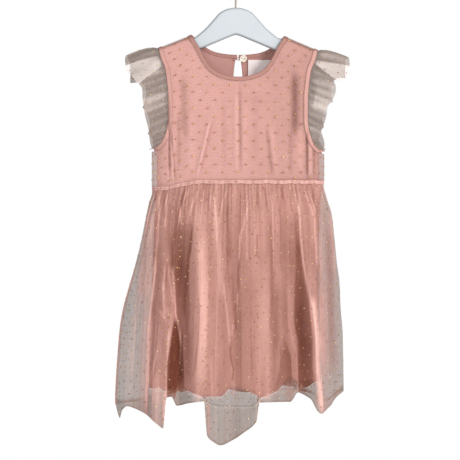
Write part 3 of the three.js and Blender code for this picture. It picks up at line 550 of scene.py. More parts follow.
# The skirts: outline and depth by distance below the waist seam
LINING_SECTIONS = table(
    "below left right depth",
    (0, 125.6, 125.6, 24.6), (40, 126, 122.5, 28.5), (150, 129, 121, 32.5), (313, 133, 122, 34.5),
)
LINING_SKIRT = {"waves": 6, "swell": 3.5, "phase": {FRONT: 0.4, BACK: 2.1}}
LINING_HEM = {
    FRONT: table(
        "x z",
        (-133, -632), (-80, -634), (-52, -643), (-26, -643), (-9, -629), (12, -634),
        (37, -644), (56, -636), (78, -617), (98, -624), (122, -622),
    ),
    BACK: table(
        "x z",
        (-133, -632), (-90, -640), (-40, -631), (10, -641), (60, -630), (100, -633), (122, -622),
    ),
}
TULLE_SECTIONS = table(
    "below left right depth",
    (0, 128.6, 128.6, 27.4), (20, 134, 133, 33), (44, 139, 140.5, 38), (78, 146, 144.5, 42),
    (114, 155, 148, 45.5), (150, 165.5, 152.5, 48), (186, 174.5, 154, 50), (222, 179, 157, 51.5),
    (322, 184.5, 158.5, 53), (400, 184.5, 158.5, 53),
)
TULLE_HEM = {
    FRONT: table(
        "x z",
        (-183.5, -656.5), (-179, -667), (-174.5, -676), (-170, -664), (-162.5, -658), (-153.5, -661),
        (-135.5, -670), (-117.5, -683.5), (-110, -689.5), (-105.5, -644.5), (-99.5, -643), (-92, -656.5),
        (-72.5, -652), (-50, -649), (-45.5, -700), (-36.5, -709), (-26, -714), (-9.5, -707.5),
        (8.5, -695.5), (26.5, -679), (31, -650.5), (77.5, -650.5), (89.5, -637), (107.5, -646),
        (116.5, -665.5), (121, -668.5), (137.5, -658), (152.5, -641.5), (158.5, -637),
    ),
    BACK: table(
        "x z",
        (-183.5, -656.5), (-150, -654), (-110, -644), (-90, -642), (-60, -646), (-38, -662), (0, -665),
        (22, -664), (40, -647), (80, -638), (107, -641), (130, -654), (158.5, -637),
    ),
}

# Largest folds of the tulle: x at the waist and at the hem, how far it stands out, and its width
TULLE_FOLDS = {
    FRONT: table(
        "top hem out width",
        (-124, -166, 5, 14), (-106, -120, 9, 13), (-87, -87, -10, 9.5), (-52, -58, 9, 15),
        (-32, -26, 5, 11), (2, -8, -4, 8), (35, 33, 8, 13), (62, 70, -4, 9), (80, 97, -10, 9),
        (91, 119, 8, 8), (122, 146, -3, 9),
    ),
    BACK: table(
        "top hem out width",
        (-98, -140, 6, 18), (-76, -108, -8, 14), (-52, -74, 8, 18), (-27, -38, -5, 13), (-3, -4, 8, 17),
        (24, 32, -6, 13), (53, 66, 8, 16), (80, 100, -7, 12), (106, 128, 6, 12),
    ),
}

# Creases of the tulle skirts, from x, z to x2, z2: width, tone (painted shade below 0, painted light above
# 0), and how densely the net bunches there
TULLE_CREASES = {
    FRONT: table(
        "x z x2 z2 width tone dense",
        (-117, -336, -121, -438, 4.0, 0.1, 0.35), (-121, -425, -128, -520, 4.0, 0.1, 0.35),
        (-127, -505, -135, -650, 3.0, 0.15, 0.55), (-106, -430, -95, -516, 2.4, 0.2, 0.55),
        (-120, -508, -102, -534, 2.6, 0.1, 0.4), (-112, -465, -102, -532, 2.4, 0.1, 0.4),
        (-95, -505, -102, -565, 2.4, 0.1, 0.45), (-102, -530, -105, -645, 2.2, 0.2, 0.6),
        (-105, -620, -110, -690, 2.4, 0.1, 0.5), (-115, -560, -131, -628, 1.8, 0.1, 0.4),
        (-119, -600, -126, -660, 2.2, 0.0, 0.35), (-116, -500, -120, -660, 12, -0.05, 0.3),
        (-97, -350, -103, -435, 4.5, -0.35, 0.05), (-102, -385, -99, -500, 4.0, -0.35, 0.05),
        (-88, -345, -84, -400, 2.2, 0.2, 0.3), (-76, -510, -78, -620, 4.0, -0.15, 0.0),
        (-72, -540, -74, -630, 4.5, -0.3, 0.0), (-61, -350, -57, -455, 8.0, 0.3, 0.1),
        (-55, -400, -50, -540, 9.0, 0.3, 0.05), (-49, -510, -56, -640, 10, 0.3, 0.0),
        (-39, -334, -29, -425, 5.5, 0.3, 0.35), (-29, -405, -24, -500, 5.0, 0.25, 0.35),
        (-48, -340, -49, -430, 3.0, 0.1, 0.25), (-17, -345, -12, -455, 3.6, -0.5, 0.0),
        (-10, -440, -4, -545, 3.4, -0.25, 0.0), (-10, -585, -5, -652, 3.0, 0.1, 0.4),
        (-42, -570, -38, -655, 3.0, 0.1, 0.35), (-25, -535, -24, -640, 11, -0.1, 0.25),
        (24, -350, 24, -475, 7.0, 0.15, 0.05), (36, -460, 34, -630, 7.0, 0.25, 0.0),
        (42, -338, 45, -450, 3.0, -0.2, 0.0), (66, -338, 69, -450, 3.4, -0.2, 0.05),
        (58, -465, 57, -595, 5.0, -0.35, 0.0), (70, -480, 71, -595, 3.6, -0.2, 0.0),
        (109, -490, 116, -560, 4.2, 0.45, 0.95), (116, -540, 115, -612, 4.2, 0.35, 0.9),
        (114, -590, 122, -668, 4.6, 0.35, 0.9), (111, -440, 120, -600, 6.0, 0.05, 0.4),
        (108, -338, 125, -475, 5.0, 0.0, 0.3), (126, -460, 129, -630, 6.0, -0.05, 0.3),
        (135, -350, 147, -480, 2.2, 0.1, 0.2), (76, -615, 78, -650, 6.0, 0.0, 0.3),
        (31, -640, 30, -676, 2.0, 0.1, 0.3), (-44, -640, -43, -705, 2.0, 0.1, 0.4),
        (-150, -480, -156, -640, 2.0, 0.1, 0.2), (-140, -400, -152, -560, 3.0, 0.0, 0.2),
        (-132, -345, -142, -520, 7.0, 0.0, 0.5), (-118, -600, -122, -700, 14, -0.1, 0.3),
        (-138, -480, -143, -660, 5.0, 0.0, 0.2), (136, -345, 142, -640, 9.0, -0.45, 0.4),
    ),
    BACK: table(
        "x z x2 z2 width tone dense",
        (-118, -340, -140, -520, 3.2, 0.2, 0.3), (-108, -350, -122, -600, 5.0, -0.4, 0.1),
        (-97, -338, -112, -470, 3.0, 0.2, 0.35), (-88, -400, -106, -640, 3.6, 0.3, 0.5),
        (-78, -340, -90, -520, 5.0, -0.5, 0.0), (-66, -336, -74, -430, 2.8, 0.2, 0.3),
        (-60, -400, -76, -640, 8.0, 0.5, 0.05), (-50, -340, -56, -480, 4.0, -0.4, 0.0),
        (-40, -350, -48, -600, 3.6, 0.2, 0.35), (-30, -480, -34, -640, 5.0, -0.4, 0.0),
        (-20, -345, -16, -520, 6.0, 0.4, 0.1), (-10, -338, -10, -470, 2.4, 0.1, 0.4),
        (2, -345, 4, -600, 4.0, -0.5, 0.0), (12, -336, 16, -410, 2.6, 0.2, 0.4),
        (18, -430, 26, -640, 7.0, 0.5, 0.05), (30, -340, 38, -520, 4.0, -0.4, 0.0),
        (40, -338, 48, -440, 2.8, 0.2, 0.35), (46, -420, 60, -640, 5.0, -0.5, 0.1),
        (56, -345, 66, -560, 3.0, 0.3, 0.5), (68, -338, 80, -600, 4.0, -0.4, 0.0),
        (78, -336, 90, -520, 6.0, 0.4, 0.1), (90, -420, 108, -640, 3.4, 0.3, 0.55),
        (100, -340, 114, -480, 4.0, -0.3, 0.1), (112, -345, 132, -600, 3.2, 0.2, 0.3),
    ),
}

# Fold edges of the tulle skirts: width, tone (painted shade below 0, painted light above 0), dense, then the
# places x, z that each runs through
TULLE_LINES = {
    FRONT: (
        (2.2, -0.9, 0.0, (-79, -333), (-84, -350), (-90, -375), (-94, -400), (-97, -425), (-98, -458)),
        (1.8, 0.35, 0.5, (-73, -333), (-82, -352), (-86, -370), (-87, -390)),
        (1.6, 0.4, 0.5, (-60, -333), (-66, -353), (-72, -368), (-77, -390)),
        (2.4, -0.5, 0.0, (-67, -383), (-70, -410), (-74, -440), (-77, -470), (-79.5, -500), (-80, -532)),
        (1.4, 0.35, 0.5, (-100, -448), (-97, -462), (-95, -475), (-94, -500), (-93, -520), (-88, -542)),
        (1.3, 0.6, 0.8, (-86, -536), (-86.7, -569), (-88, -594), (-91.7, -627), (-95, -648)),
        (1.0, 0.4, 0.5, (-94, -548), (-97, -560), (-100, -570)),
        (1.6, -0.5, 0.0, (-57.5, -498), (-57, -535), (-58.5, -560), (-62, -585), (-65, -614)),
        (1.5, 0.25, 0.5, (-22, -470), (-16, -527), (-12, -560), (-11, -572)),
        (1.4, -0.6, 0.0, (-3, -500), (-5, -529), (-2.5, -546)),
        (1.3, 0.3, 0.5, (0, -485), (-3, -515), (-7, -532), (-10, -558)),
        (1.5, -0.6, 0.1, (-10.5, -555), (-12, -579), (-9, -594), (-6.7, -602), (-9, -622)),
        (1.5, -0.4, 0.0, (3, -335), (2.5, -405)),
        (1.3, 0.45, 0.5, (13, -360), (8, -390), (3, -402), (2, -415), (3, -424), (1, -446)),
        (1.2, -0.55, 0.0, (5, -412), (4, -432), (1, -447), (0, -460), (0, -486)),
        (1.5, 0.35, 0.3, (15, -345), (12, -400), (13, -445)),
        (1.4, -0.45, 0.0, (29, -336), (26.5, -372), (27, -394)),
        (1.2, -0.75, 0.0, (28, -402), (28, -437)),
        (1.3, -0.6, 0.0, (38, -331), (41, -345), (42, -364)),
        (2.0, -0.45, 0.0, (47, -370), (49.5, -430), (50, -500), (48, -556)),
        (1.5, 0.35, 0.3, (51, -336), (52, -400), (53, -460)),
        (1.8, -0.35, 0.0, (63, -338), (63, -385), (64, -460)),
        (1.4, -0.6, 0.0, (64, -330), (68, -351)),
        (1.2, -0.5, 0.0, (78, -334), (79.5, -368)),
        (1.7, 0.75, 0.6, (90, -334), (91, -370), (92, -400), (94, -425), (97, -450), (101, -475),
         (106, -500), (110, -530), (112, -565), (111.5, -600), (115, -628)),
        (1.4, 0.35, 0.5, (94, -331), (103, -347), (109, -362), (114, -382), (115.5, -410), (118, -456)),
        (1.2, 0.35, 0.4, (102, -333), (110, -352), (117, -370)),
        (1.4, -0.7, 0.0, (112, -331), (112.5, -360)),
        (2.3, 0.05, 0.45, (75, -465), (76.7, -540), (80, -555), (85, -569), (88, -585), (90, -619),
         (87, -650)),
        (1.3, 0.35, 0.4, (-50, -332), (-53, -355), (-56, -378)),
        (1.4, 0.35, 0.4, (-16, -334), (-24, -358), (-29, -392)),
        (1.3, -0.5, 0.0, (-16.5, -418), (-13, -486)),
        (1.4, -0.45, 0.1, (-110, -336), (-110.5, -378)),
        (1.6, 0.4, 0.4, (-106, -334), (-109, -395)),
        (1.8, -0.45, 0.2, (-103, -438), (-106, -480), (-105.5, -515)),
        (1.5, 0.3, 0.4, (-117, -336), (-119, -400), (-126, -470)),
        (1.4, 0.35, 0.5, (-108, -445), (-111, -490), (-108, -530)),
        (1.4, 0.35, 0.7, (-120, -430), (-127, -490), (-133, -545), (-136, -640), (-137, -672)),
        (1.4, -0.35, 0.0, (20, -565), (20.5, -612)),
        (1.3, -0.35, 0.0, (3, -500), (4, -640)),
        (1.3, 0.3, 0.3, (-38, -336), (-33, -375), (-31, -430)),
    ),
    BACK: (
        (2.0, -0.8, 0.0, (-86, -334), (-92, -365), (-98, -410), (-100, -470)),
        (1.6, 0.4, 0.5, (-80, -333), (-88, -372), (-93, -430), (-98, -520)),
        (1.5, -0.5, 0.0, (-66, -360), (-70, -430), (-75, -520)),
        (1.5, 0.4, 0.5, (-56, -334), (-60, -390), (-68, -470), (-72, -560)),
        (1.4, -0.6, 0.0, (-44, -332), (-46, -372), (-45, -410)),
        (1.6, 0.35, 0.4, (-36, -420), (-40, -500), (-44, -630)),
        (1.4, -0.5, 0.0, (-24, -338), (-22, -390), (-25, -450)),
        (1.5, 0.4, 0.5, (-14, -334), (-12, -400), (-15, -470)),
        (1.4, -0.5, 0.0, (-6, -470), (-5, -540), (-8, -610)),
        (1.5, 0.35, 0.5, (8, -334), (9, -380), (14, -440), (15, -520)),
        (1.4, -0.6, 0.0, (21, -332), (24, -370), (23, -400)),
        (1.6, -0.45, 0.0, (34, -400), (38, -480), (40, -570)),
        (1.5, 0.4, 0.5, (44, -334), (50, -400), (52, -470), (60, -560)),
        (1.4, -0.5, 0.0, (62, -334), (66, -385), (70, -440)),
        (1.7, 0.5, 0.6, (76, -334), (82, -390), (92, -460), (100, -540), (104, -630)),
        (1.5, -0.6, 0.0, (96, -333), (101, -370), (105, -420)),
        (1.4, 0.35, 0.4, (108, -334), (113, -380), (122, -450)),
    ),
}


def patch(*rows):
    """A part of a tulle skirt that lies deep or stands in the light, between a left and a right edge."""
    return table("z left right tone soft_left soft_right", *rows)


TULLE_PATCHES = {
    FRONT: (
        patch(
            (-370, -80, -73, 0, 4, 4), (-385, -88, -69, -0.25, 3, 3), (-400, -93, -68, -0.5, 3, 3),
            (-420, -94.5, -69, -0.55, 2, 3), (-440, -95.5, -73, -0.6, 2, 3), (-480, -94, -72.5, -0.65, 2, 3),
            (-520, -92, -72, -0.5, 2, 5), (-560, -84, -74, -0.25, 2, 6), (-630, -83, -76, 0, 2, 6),
        ),
        patch(
            (-526, -95, -93, -0.5, 1.5, 1.5), (-545, -97.5, -91, -1.0, 1.5, 1.5),
            (-569, -101, -87, -1.1, 1.5, 1.5), (-592, -104.5, -88, -1.1, 1.5, 1.5),
            (-625, -105, -91, -1.1, 1.5, 1.5), (-648, -105, -94, -0.8, 1.5, 1.5),
        ),
        patch(
            (-540, -86, -83, -0.3, 1.5, 2), (-585, -87, -82, -0.85, 1.5, 2),
            (-612, -90, -80.5, -0.9, 1.5, 2), (-636, -94, -80, -0.5, 1.5, 2),
        ),
        patch(
            (-366, 83, 90, -0.1, 3, 1.5), (-400, 86, 91.5, -0.55, 3, 1.5), (-425, 87, 93.5, -0.8, 3, 1.5),
            (-450, 87, 96.5, -0.65, 3, 1.5), (-475, 85.5, 101, -0.65, 3, 1.5),
            (-500, 84.5, 105.5, -0.65, 3, 1.5), (-520, 84, 108, -0.65, 3, 1.5),
            (-540, 84.5, 110.5, -0.65, 3, 1.5), (-560, 90, 111.5, -0.65, 3, 1.5),
            (-619, 91, 112, -0.7, 3, 1.5), (-640, 93, 114, -0.4, 3, 1.5),
        ),
        patch(
            (-368, 76, 86, 0, 3, 3), (-390, 75, 87, -0.3, 3, 3), (-440, 76, 88, -0.35, 3, 3),
            (-500, 78, 85, 0, 3, 3),
        ),
        patch(
            (-550, 61, 67, 0, 3, 2), (-580, 62, 78, -0.5, 3, 2), (-602, 62, 80, -0.6, 3, 2),
            (-630, 55, 80, -0.4, 4, 2),
        ),
        patch(
            (-395, -58, -44, 0, 4, 5), (-450, -60, -44, 0.28, 4, 5), (-480, -58, -44, 0.45, 3, 4),
            (-510, -57, -45, 0.52, 2, 3), (-560, -58, -46.5, 0.48, 2, 3), (-585, -61, -46, 0.3, 2, 4),
            (-615, -64, -46, 0.2, 3, 5), (-645, -64, -40, 0.1, 4, 6),
        ),
        patch(
            (-420, -166, -148, 0, 6, 6), (-480, -172, -152, 0.22, 6, 6), (-600, -178, -156, 0.22, 6, 6),
            (-645, -178, -158, 0, 6, 6),
        ),
    ),
    BACK: (
        patch(
            (-380, 22, 30, 0, 3, 3), (-430, 24, 36, -0.5, 2, 5), (-500, 28, 42, -0.6, 2, 5),
            (-600, 32, 44, -0.3, 3, 6),
        ),
        patch(
            (-420, -60, -50, 0, 3, 3), (-470, -62, -46, -0.45, 5, 2), (-540, -62, -44, -0.55, 5, 2),
            (-625, -60, -45, -0.25, 6, 3),
        ),
        patch(
            (-400, 84, 94, 0, 3, 3), (-470, 88, 104, -0.4, 4, 2), (-560, 94, 112, -0.5, 4, 2),
            (-635, 98, 114, -0.3, 4, 2),
        ),
        patch(
            (-400, -18, -2, 0, 5, 5), (-480, -22, -4, 0.4, 3, 5), (-580, -26, -6, 0.5, 3, 5),
            (-650, -26, -6, 0.1, 4, 6),
        ),
    ),
}

# How far creases stand out, for their tone and how dense they are
CREASE_RELIEF = {"tone": 2.4, "line": 1.3, "dense": 1.8, "broad": 1.0}

# Creases of the jersey skirts, each from x, z to x2, z2, with how far it stands out and its width
LINING_CREASES = {
    FRONT: table(
        "x z x2 z2 out width",
        (-96, -338, -84, -520, -2.4, 8), (-94, -515, -92, -648, -8.0, 6.0), (-54, -345, -54, -640, 3.2, 14),
        (-110, -350, -112, -628, 1.6, 8), (-22, -350, -24, -640, 1.4, 9), (-6, -345, -4, -632, -1.8, 8),
        (32, -350, 34, -640, 2.0, 12), (62, -350, 68, -620, -1.6, 8), (94, -440, 98, -620, -2.6, 10),
        (112, -380, 114, -622, 2.0, 7),
    ),
    BACK: table(
        "x z x2 z2 out width",
        (-92, -345, -96, -632, -3.0, 10), (-62, -345, -64, -630, 2.6, 12), (-24, -350, -26, -632, -2.6, 9),
        (12, -345, 14, -636, 2.8, 11), (46, -350, 48, -630, -2.4, 9), (84, -345, 88, -628, 2.6, 11),
    ),
}

GATHERS = {"count": 40, "swell": 1.15}
FINE_GATHERS = {"count": 97, "swell": 0.4}
LINE_END = 0.12  # share of a fold edge over which it fades at each end
HEM_SIGHT = 10  # how far above the other side's hem a skirt's net thickens
EVEN_BELOW = 150  # how far below the waist a skirt's columns are even
HEM_BELOW = 313.0  # how far below the waist the hem tables' x is measured
TOP_SHARE = -0.004  # where a skirt starts, just under the waist band
GATHERED_FALL = 0.3  # share of the skirt's length over which the gathers at the waist run out
NET_COVER = {"over": 0.34, "bare": 0.5, "alone": 0.84, "dense": 0.45, "gathered": 0.12, "edge": 0.2}


def broad_folds(x, share, side):
    """Soft uneven folds of a skirt, from -1 to 1, which grow from the waist."""
    lean = x * (1 - 0.12 * share)
    wave = np.sin(lean * 0.33 + 1.3 * np.sin(lean * 0.05 + side))
    wave = wave * (0.6 + 0.4 * np.sin(lean * 0.071 + 2 * side))
    return wave * smooth(share * 5) * (0.75 + 0.25 * np.sin(share * 5 + lean * 0.09))


def thin_folds(x, share, side):
    """Fine crisp fold edges of the net, from 0 to 1, at uneven places and of uneven length."""
    wave = np.sin(x * 0.62 * (1 - 0.1 * share) + 2.1 * np.sin(x * 0.083 + side) + 1.2 * share)
    uneven = smooth(0.35 + 0.9 * np.sin(share * 7 + x * 0.23 + side))
    return np.maximum(wave, 0) ** 14 * uneven * smooth(share * 12)


def fold_lines(side, x, z, column):
    """The sum of a side's fold edges at x, z: their tone of painted light and shade, or how densely the net
    bunches there.
    """
    total = np.zeros(np.broadcast(x, z).shape)
    for width, tone, dense, *points in TULLE_LINES[side]:
        line_x, line_z = np.array(points, float).T
        share = (line_z[0] - z) / (line_z[0] - line_z[-1])
        fade = smooth(share / LINE_END) * smooth((1 - share) / LINE_END)
        apart = x - np.interp(-z, -line_z, line_x)
        total = total + (tone if column == "tone" else dense) * fade * np.exp(-((apart / width) ** 2))
    return total


def fold_patches(side, x, z):
    """The sum of a side's patches at x, z."""
    total = np.zeros(np.broadcast(x, z).shape)
    for rows in TULLE_PATCHES[side]:
        left, right, tone, soft_left, soft_right = (
            np.interp(-z, -rows["z"], rows[k]) for k in ("left", "right", "tone", "soft_left", "soft_right")
        )
        ends = smooth((rows["z"][0] - z) / 8) * smooth((z - rows["z"][-1]) / 8)
        edges = smooth((x - left) / soft_left + 0.5) * smooth((right - x) / soft_right + 0.5)
        total = total + tone * ends * edges
    return total


def skirt_reach(sections, turn, below):
    left = follow(sections, "below", "left", below)
    right = follow(sections, "below", "right", below)
    return np.where(turn < 0, left, right)


def skirt_place(sections, side, turn, below, outward):
    """A place on a skirt's section, from the left seam (-pi/2) to the right one (pi/2)."""
    reach = skirt_reach(sections, turn, below)
    depth = follow(sections, "below", "depth", below)
    nx, ny = np.sin(turn) / reach, np.cos(turn) / depth
    long = np.hypot(nx, ny)
    x = reach * np.sin(turn) + outward * nx / long
    y = depth * np.cos(turn) + outward * ny / long
    return x, side * np.maximum(y, LEAST_DEPTH)


def even_turns(sections, below, count):
    """Turns that cut a skirt's section into equal lengths of cloth."""
    fine = np.linspace(-math.pi / 2, math.pi / 2, 1601)
    x, y = skirt_place(sections, BACK, fine, np.full(1601, below), 0)
    long = np.concatenate([[0], np.cumsum(np.hypot(np.diff(x), np.diff(y)))])
    return np.interp(np.linspace(0, long[-1], count), long, fine)


def skirt_top(x):
    return waist_line(x) - WAIST_BAND["height"] / 2 - WAIST_GAP


def hem_place(sections, turn):
    return skirt_reach(sections, turn, np.full(np.shape(turn), HEM_BELOW)) * np.sin(turn)


def lining_places(side, turn, share):
    """The jersey skirt's places, and how far its creases stand out there."""
    ends = np.sqrt(np.clip(np.cos(turn), 0, 1))
    hem_x = hem_place(LINING_SECTIONS, turn)
    below = (skirt_top(hem_x) - follow(LINING_HEM[side], "x", "z", hem_x)) * share
    x, _ = skirt_place(LINING_SECTIONS, side, turn, below, 0)
    waves = np.sin(LINING_SKIRT["waves"] * 2 * turn + LINING_SKIRT["phase"][side])
    wave = LINING_SKIRT["swell"] * share * waves
    crease = folded(LINING_CREASES[side], x, skirt_top(x) - below, 0.35)
    fine = 0.35 * np.sin(turn * 90) * (1 - smooth(share * 4))
    outward = ends * (wave + crease * smooth(np.cos(turn) * 2.2) + fine)
    x, y = skirt_place(LINING_SECTIONS, side, turn, below, outward)
    return stack(x, y, skirt_top(x) - below), crease


def lining_skirt(name, side):
    """The jersey skirt's front or back. Its tone is painted shade and light where the net over it folds, and
    on its own creases.
    """
    turn = even_turns(LINING_SECTIONS, EVEN_BELOW, 361)[:, None]
    share = np.linspace(TOP_SHARE, 1, 101)[None, :]
    places, crease = lining_places(side, turn, share)
    obj = cloth_object(name, places, grid_faces(*places.shape[:2]))
    x, z = places[..., 0], places[..., 2]
    # Painted shade and light of the net's folds over the jersey (above) and of its own creases, lighter
    # toward the waist, and painted shade along the hem
    above = folded(TULLE_CREASES[side], x, z, 0.25, "tone") + 0.25 * broad_folds(x, share, side)
    above = above + fold_patches(side, x, z) + 0.6 * fold_lines(side, x, z, "tone")
    tone = 0.09 * crease + 0.75 * above + 0.42 * smooth(1.15 - share * 3)
    attribute(obj, "tone", tone - 0.35 * smooth((share - 0.985) / 0.01))
    return obj


def tulle_places(side, along, turn, share):
    """The tulle skirt: fine gathers at the waist, large folds at the hem, creases and fold edges, with their
    painted light and shade.
    """
    ends = smooth(np.cos(turn) * 2.5)
    hem_x = hem_place(TULLE_SECTIONS, turn)
    below = (skirt_top(hem_x) - follow(TULLE_HEM[side], "x", "z", hem_x)) * share
    x, _ = skirt_place(TULLE_SECTIONS, side, turn, below, 0)
    rows = TULLE_FOLDS[side]
    large = 0
    for top, hem, out, width in zip(rows["top"], rows["hem"], rows["out"], rows["width"]):
        large = large + out * np.exp(-(((x - mix(top, hem, share)) / width) ** 2))
    large = large * smooth(share * 1.15) ** 0.6
    uneven = 1 + 0.45 * np.sin(along * 31 + 0.8) + 0.4 * np.sin(along * 73 + side)
    fade = mix(1, 0.16, smooth(share / GATHERED_FALL / (1 + 0.5 * np.sin(along * 47 + side))))
    shifted = along + 0.008 * np.sin(along * 57 + side) + 0.003 * np.sin(along * 131)
    shifted = shifted + 0.006 * share * np.sin(along * 21)
    gather = GATHERS["swell"] * uneven * (1 + np.cos(2 * math.pi * GATHERS["count"] * shifted)) * fade
    small = FINE_GATHERS["swell"] * np.sin(2 * math.pi * FINE_GATHERS["count"] * shifted + 1) * fade
    z = skirt_top(x) - below
    tone, dense = (folded(TULLE_CREASES[side], x, z, 0.25, column) for column in ("tone", "dense"))
    broad = broad_folds(x, share, side)
    thin = thin_folds(x, share, side)
    edges = fold_lines(side, x, z, "tone")
    patches = fold_patches(side, x, z)
    crease = CREASE_RELIEF["tone"] * tone + CREASE_RELIEF["dense"] * (dense + 0.4 * thin)
    crease = crease + CREASE_RELIEF["line"] * (edges + patches)
    crease = crease + CREASE_RELIEF["broad"] * broad
    x, y = skirt_place(TULLE_SECTIONS, side, turn, below, ends * (gather + small + large + crease))
    pulled = 0.5 + 0.5 * np.sin(along * 61 + 2 * np.sin(along * 13 + side))
    # Painted light and shade: on the creases, fold edges, patches, broad and large folds and gathers, light
    # and dark streaks just under the waist, and lighter toward the waist
    tone = tone + edges + patches + 0.14 * broad + 0.03 * large
    dense = dense + fold_lines(side, x, z, "dense")
    tone = tone + 0.35 * (small + 0.3 * (gather - GATHERS["swell"]))
    tone = tone + (0.15 - 0.3 * pulled) * smooth(1 - share * 6)
    tone = tone + 0.12 * smooth(1.15 - share * 3)
    return stack(x, y, z), tone, np.clip(dense, 0, 1), thin


def tulle_skirt(name, side):
    """The outer skirt's front or back, with how light, dense, bare and covered the net is at each place."""
    turn = even_turns(TULLE_SECTIONS, EVEN_BELOW, 561)[:, None]
    along = np.linspace(0, 1, 561)[:, None]
    share = np.concatenate([[TOP_SHARE], np.linspace(0, 0.1, 14), np.linspace(0.11, 1, 74)])[None, :]
    places, tone, dense, thin = tulle_places(side, along, turn, share)
    x, z = places[..., 0], places[..., 2]
    lining_z = follow(LINING_HEM[side], "x", "z", x)
    beside = np.abs(x) - skirt_reach(LINING_SECTIONS, turn, np.maximum(skirt_top(x) - z, 0))
    bare = np.maximum(smooth((beside + 1) / 3), smooth((lining_z + 1 - z) / 3))
    alone = smooth((follow(TULLE_HEM[-side], "x", "z", x) + HEM_SIGHT - z) / 5)
    seam = smooth((np.abs(turn) - 1.515) / 0.03) + 0 * share
    hem = smooth((share - 0.9925) / 0.004) + 0 * turn
    from_edge = -x - skirt_reach(TULLE_SECTIONS, turn, skirt_top(x) - z)
    rolled = smooth((from_edge + 4.5) / 4) * smooth((-z - 420) / 60)
    dense = dense + 0.4 * thin * (1 - 0.65 * bare)
    dense = np.maximum(dense, 0.9 * rolled * (turn < 0))
    dense = dense + 0.5 * smooth(beside / 2) * np.exp(-np.maximum(beside, 0) / 10)
    cover = mix(mix(NET_COVER["over"], NET_COVER["bare"], bare), NET_COVER["alone"], alone)
    cover = cover + NET_COVER["dense"] * dense + NET_COVER["gathered"] * (1 - smooth(share * 4))
    cover = cover + NET_COVER["edge"] * np.maximum(seam, hem)
    obj = cloth_object(name, places, grid_faces(*places.shape[:2]))
    for key, values in (("tone", tone), ("dense", dense), ("bare", bare), ("cover", cover)):
        attribute(obj, key, values)
    return places, obj


def waist_band():
    """The bulky seam at the waist, as two cords with a groove between them, with painted light on its
    puckers and painted shade between them and in its groove.
    """
    turns = np.linspace(-math.pi, math.pi, 481)[:-1][:, None]
    up = (CROWN - 0.5)[None, :] * WAIST_BAND["height"]
    x = WAIST_BAND["half"] * np.sin(turns)
    y = -WAIST_BAND["depth"] * np.cos(turns)
    gathers = 0.5 * np.sin(turns * 62) + 0.35 * np.sin(turns * 97 + 1) + 0.3 * np.sin(turns * 23)
    wander = 0.5 * np.sin(turns * 41) * (up < 0) + 0.4 * np.sin(turns * 17 + 2)
    middle = stack(x, y + 0 * up, waist_line(x) + up + wander)

    def groove(width):
        return np.exp(-(((CROWN - 0.5) / width) ** 2))

    thick = WAIST_BAND["thick"] * (CROWN_THICK * (1 - 0.45 * groove(0.12)))[None, :] * (1 + 0.16 * gathers)
    obj = shell("waist_seam_band", middle, thick, looped=True)
    # Lighter as a whole, with painted light on the puckers and painted shade between them and in the groove
    shade_trim(obj, middle, 0.5 + 0.6 * gathers - 0.6 * groove(0.1)[None, :])
    return obj


# The button, its thread loop and the label, as in the part's source
BUTTON = {"x": 8.0, "below": 6, "wall": 1.4, "clear": 0.6, "hole_at": 2.1}
BUTTON_PROFILE = [
    (0.02, 0), (1.1, 0), (1.1, 2.4), (4.6, 2.4), (5.1, 2.55), (5.4, 2.85), (5.5, 3.3), (5.5, 3.9),
    (5.42, 4.3), (5.2, 4.55), (4.9, 4.62), (4.6, 4.55), (4.35, 4.35), (4.1, 4.1), (3.7, 4.02), (2.4, 4.05),
    (0.02, 4.1),
]
HOLE_PROFILE = [(0.01, 0.5), (0.75, 0.5), (0.75, 6), (0.01, 6)]
LOOP = {"wire": 0.65, "around": 2.4, "root": -7, "apart": 1.1, "forward": 0.8}
LABEL = {"from": 15, "width": 36, "top": 3, "height": 30, "below": 1.2, "off": 1.3, "thick": 0.7}


def button_seat():
    z = NECK_POINT_Z - NECK_DROP[BACK] - BUTTON["below"]
    y = bodice_depth(TRIM, BACK, BUTTON["x"], z) - BUTTON["wall"] - BUTTON["clear"]
    return np.array([BUTTON["x"], y, z])


def lathe(profile, sides):
    """Places and faces of a profile of radius and height, turned about -Y through the origin."""
    turn = np.linspace(0, 2 * math.pi, sides + 1)[:-1][:, None]
    radius, height = np.array(profile, float).T
    places = stack(radius * np.cos(turn), -height + 0 * turn, radius * np.sin(turn))
    return places.reshape(-1, 3), grid_faces(sides, len(profile), looped=True)


def button():
    """A round button with a raised rim, a shank and two holes."""
    places, faces = lathe(BUTTON_PROFILE, 56)
    obj = cloth_object("pearl_button", places + button_seat(), faces)
    for x in (-BUTTON["hole_at"], BUTTON["hole_at"]):
        hole, hole_faces = lathe(HOLE_PROFILE, 20)
        tool = cloth_object("hole_tool", hole + button_seat() + (x, 0, 0), hole_faces)
        cutter = obj.modifiers.new("hole", "BOOLEAN")
        cutter.object = tool
        cutter.operation = "DIFFERENCE"
        solid = bpy.data.meshes.new_from_object(obj.evaluated_get(bpy.context.evaluated_depsgraph_get()))
        obj.modifiers.clear()
        obj.data = solid
        bpy.data.objects.remove(tool)
    obj.data.set_sharp_from_angle(angle=math.radians(40))
    return obj


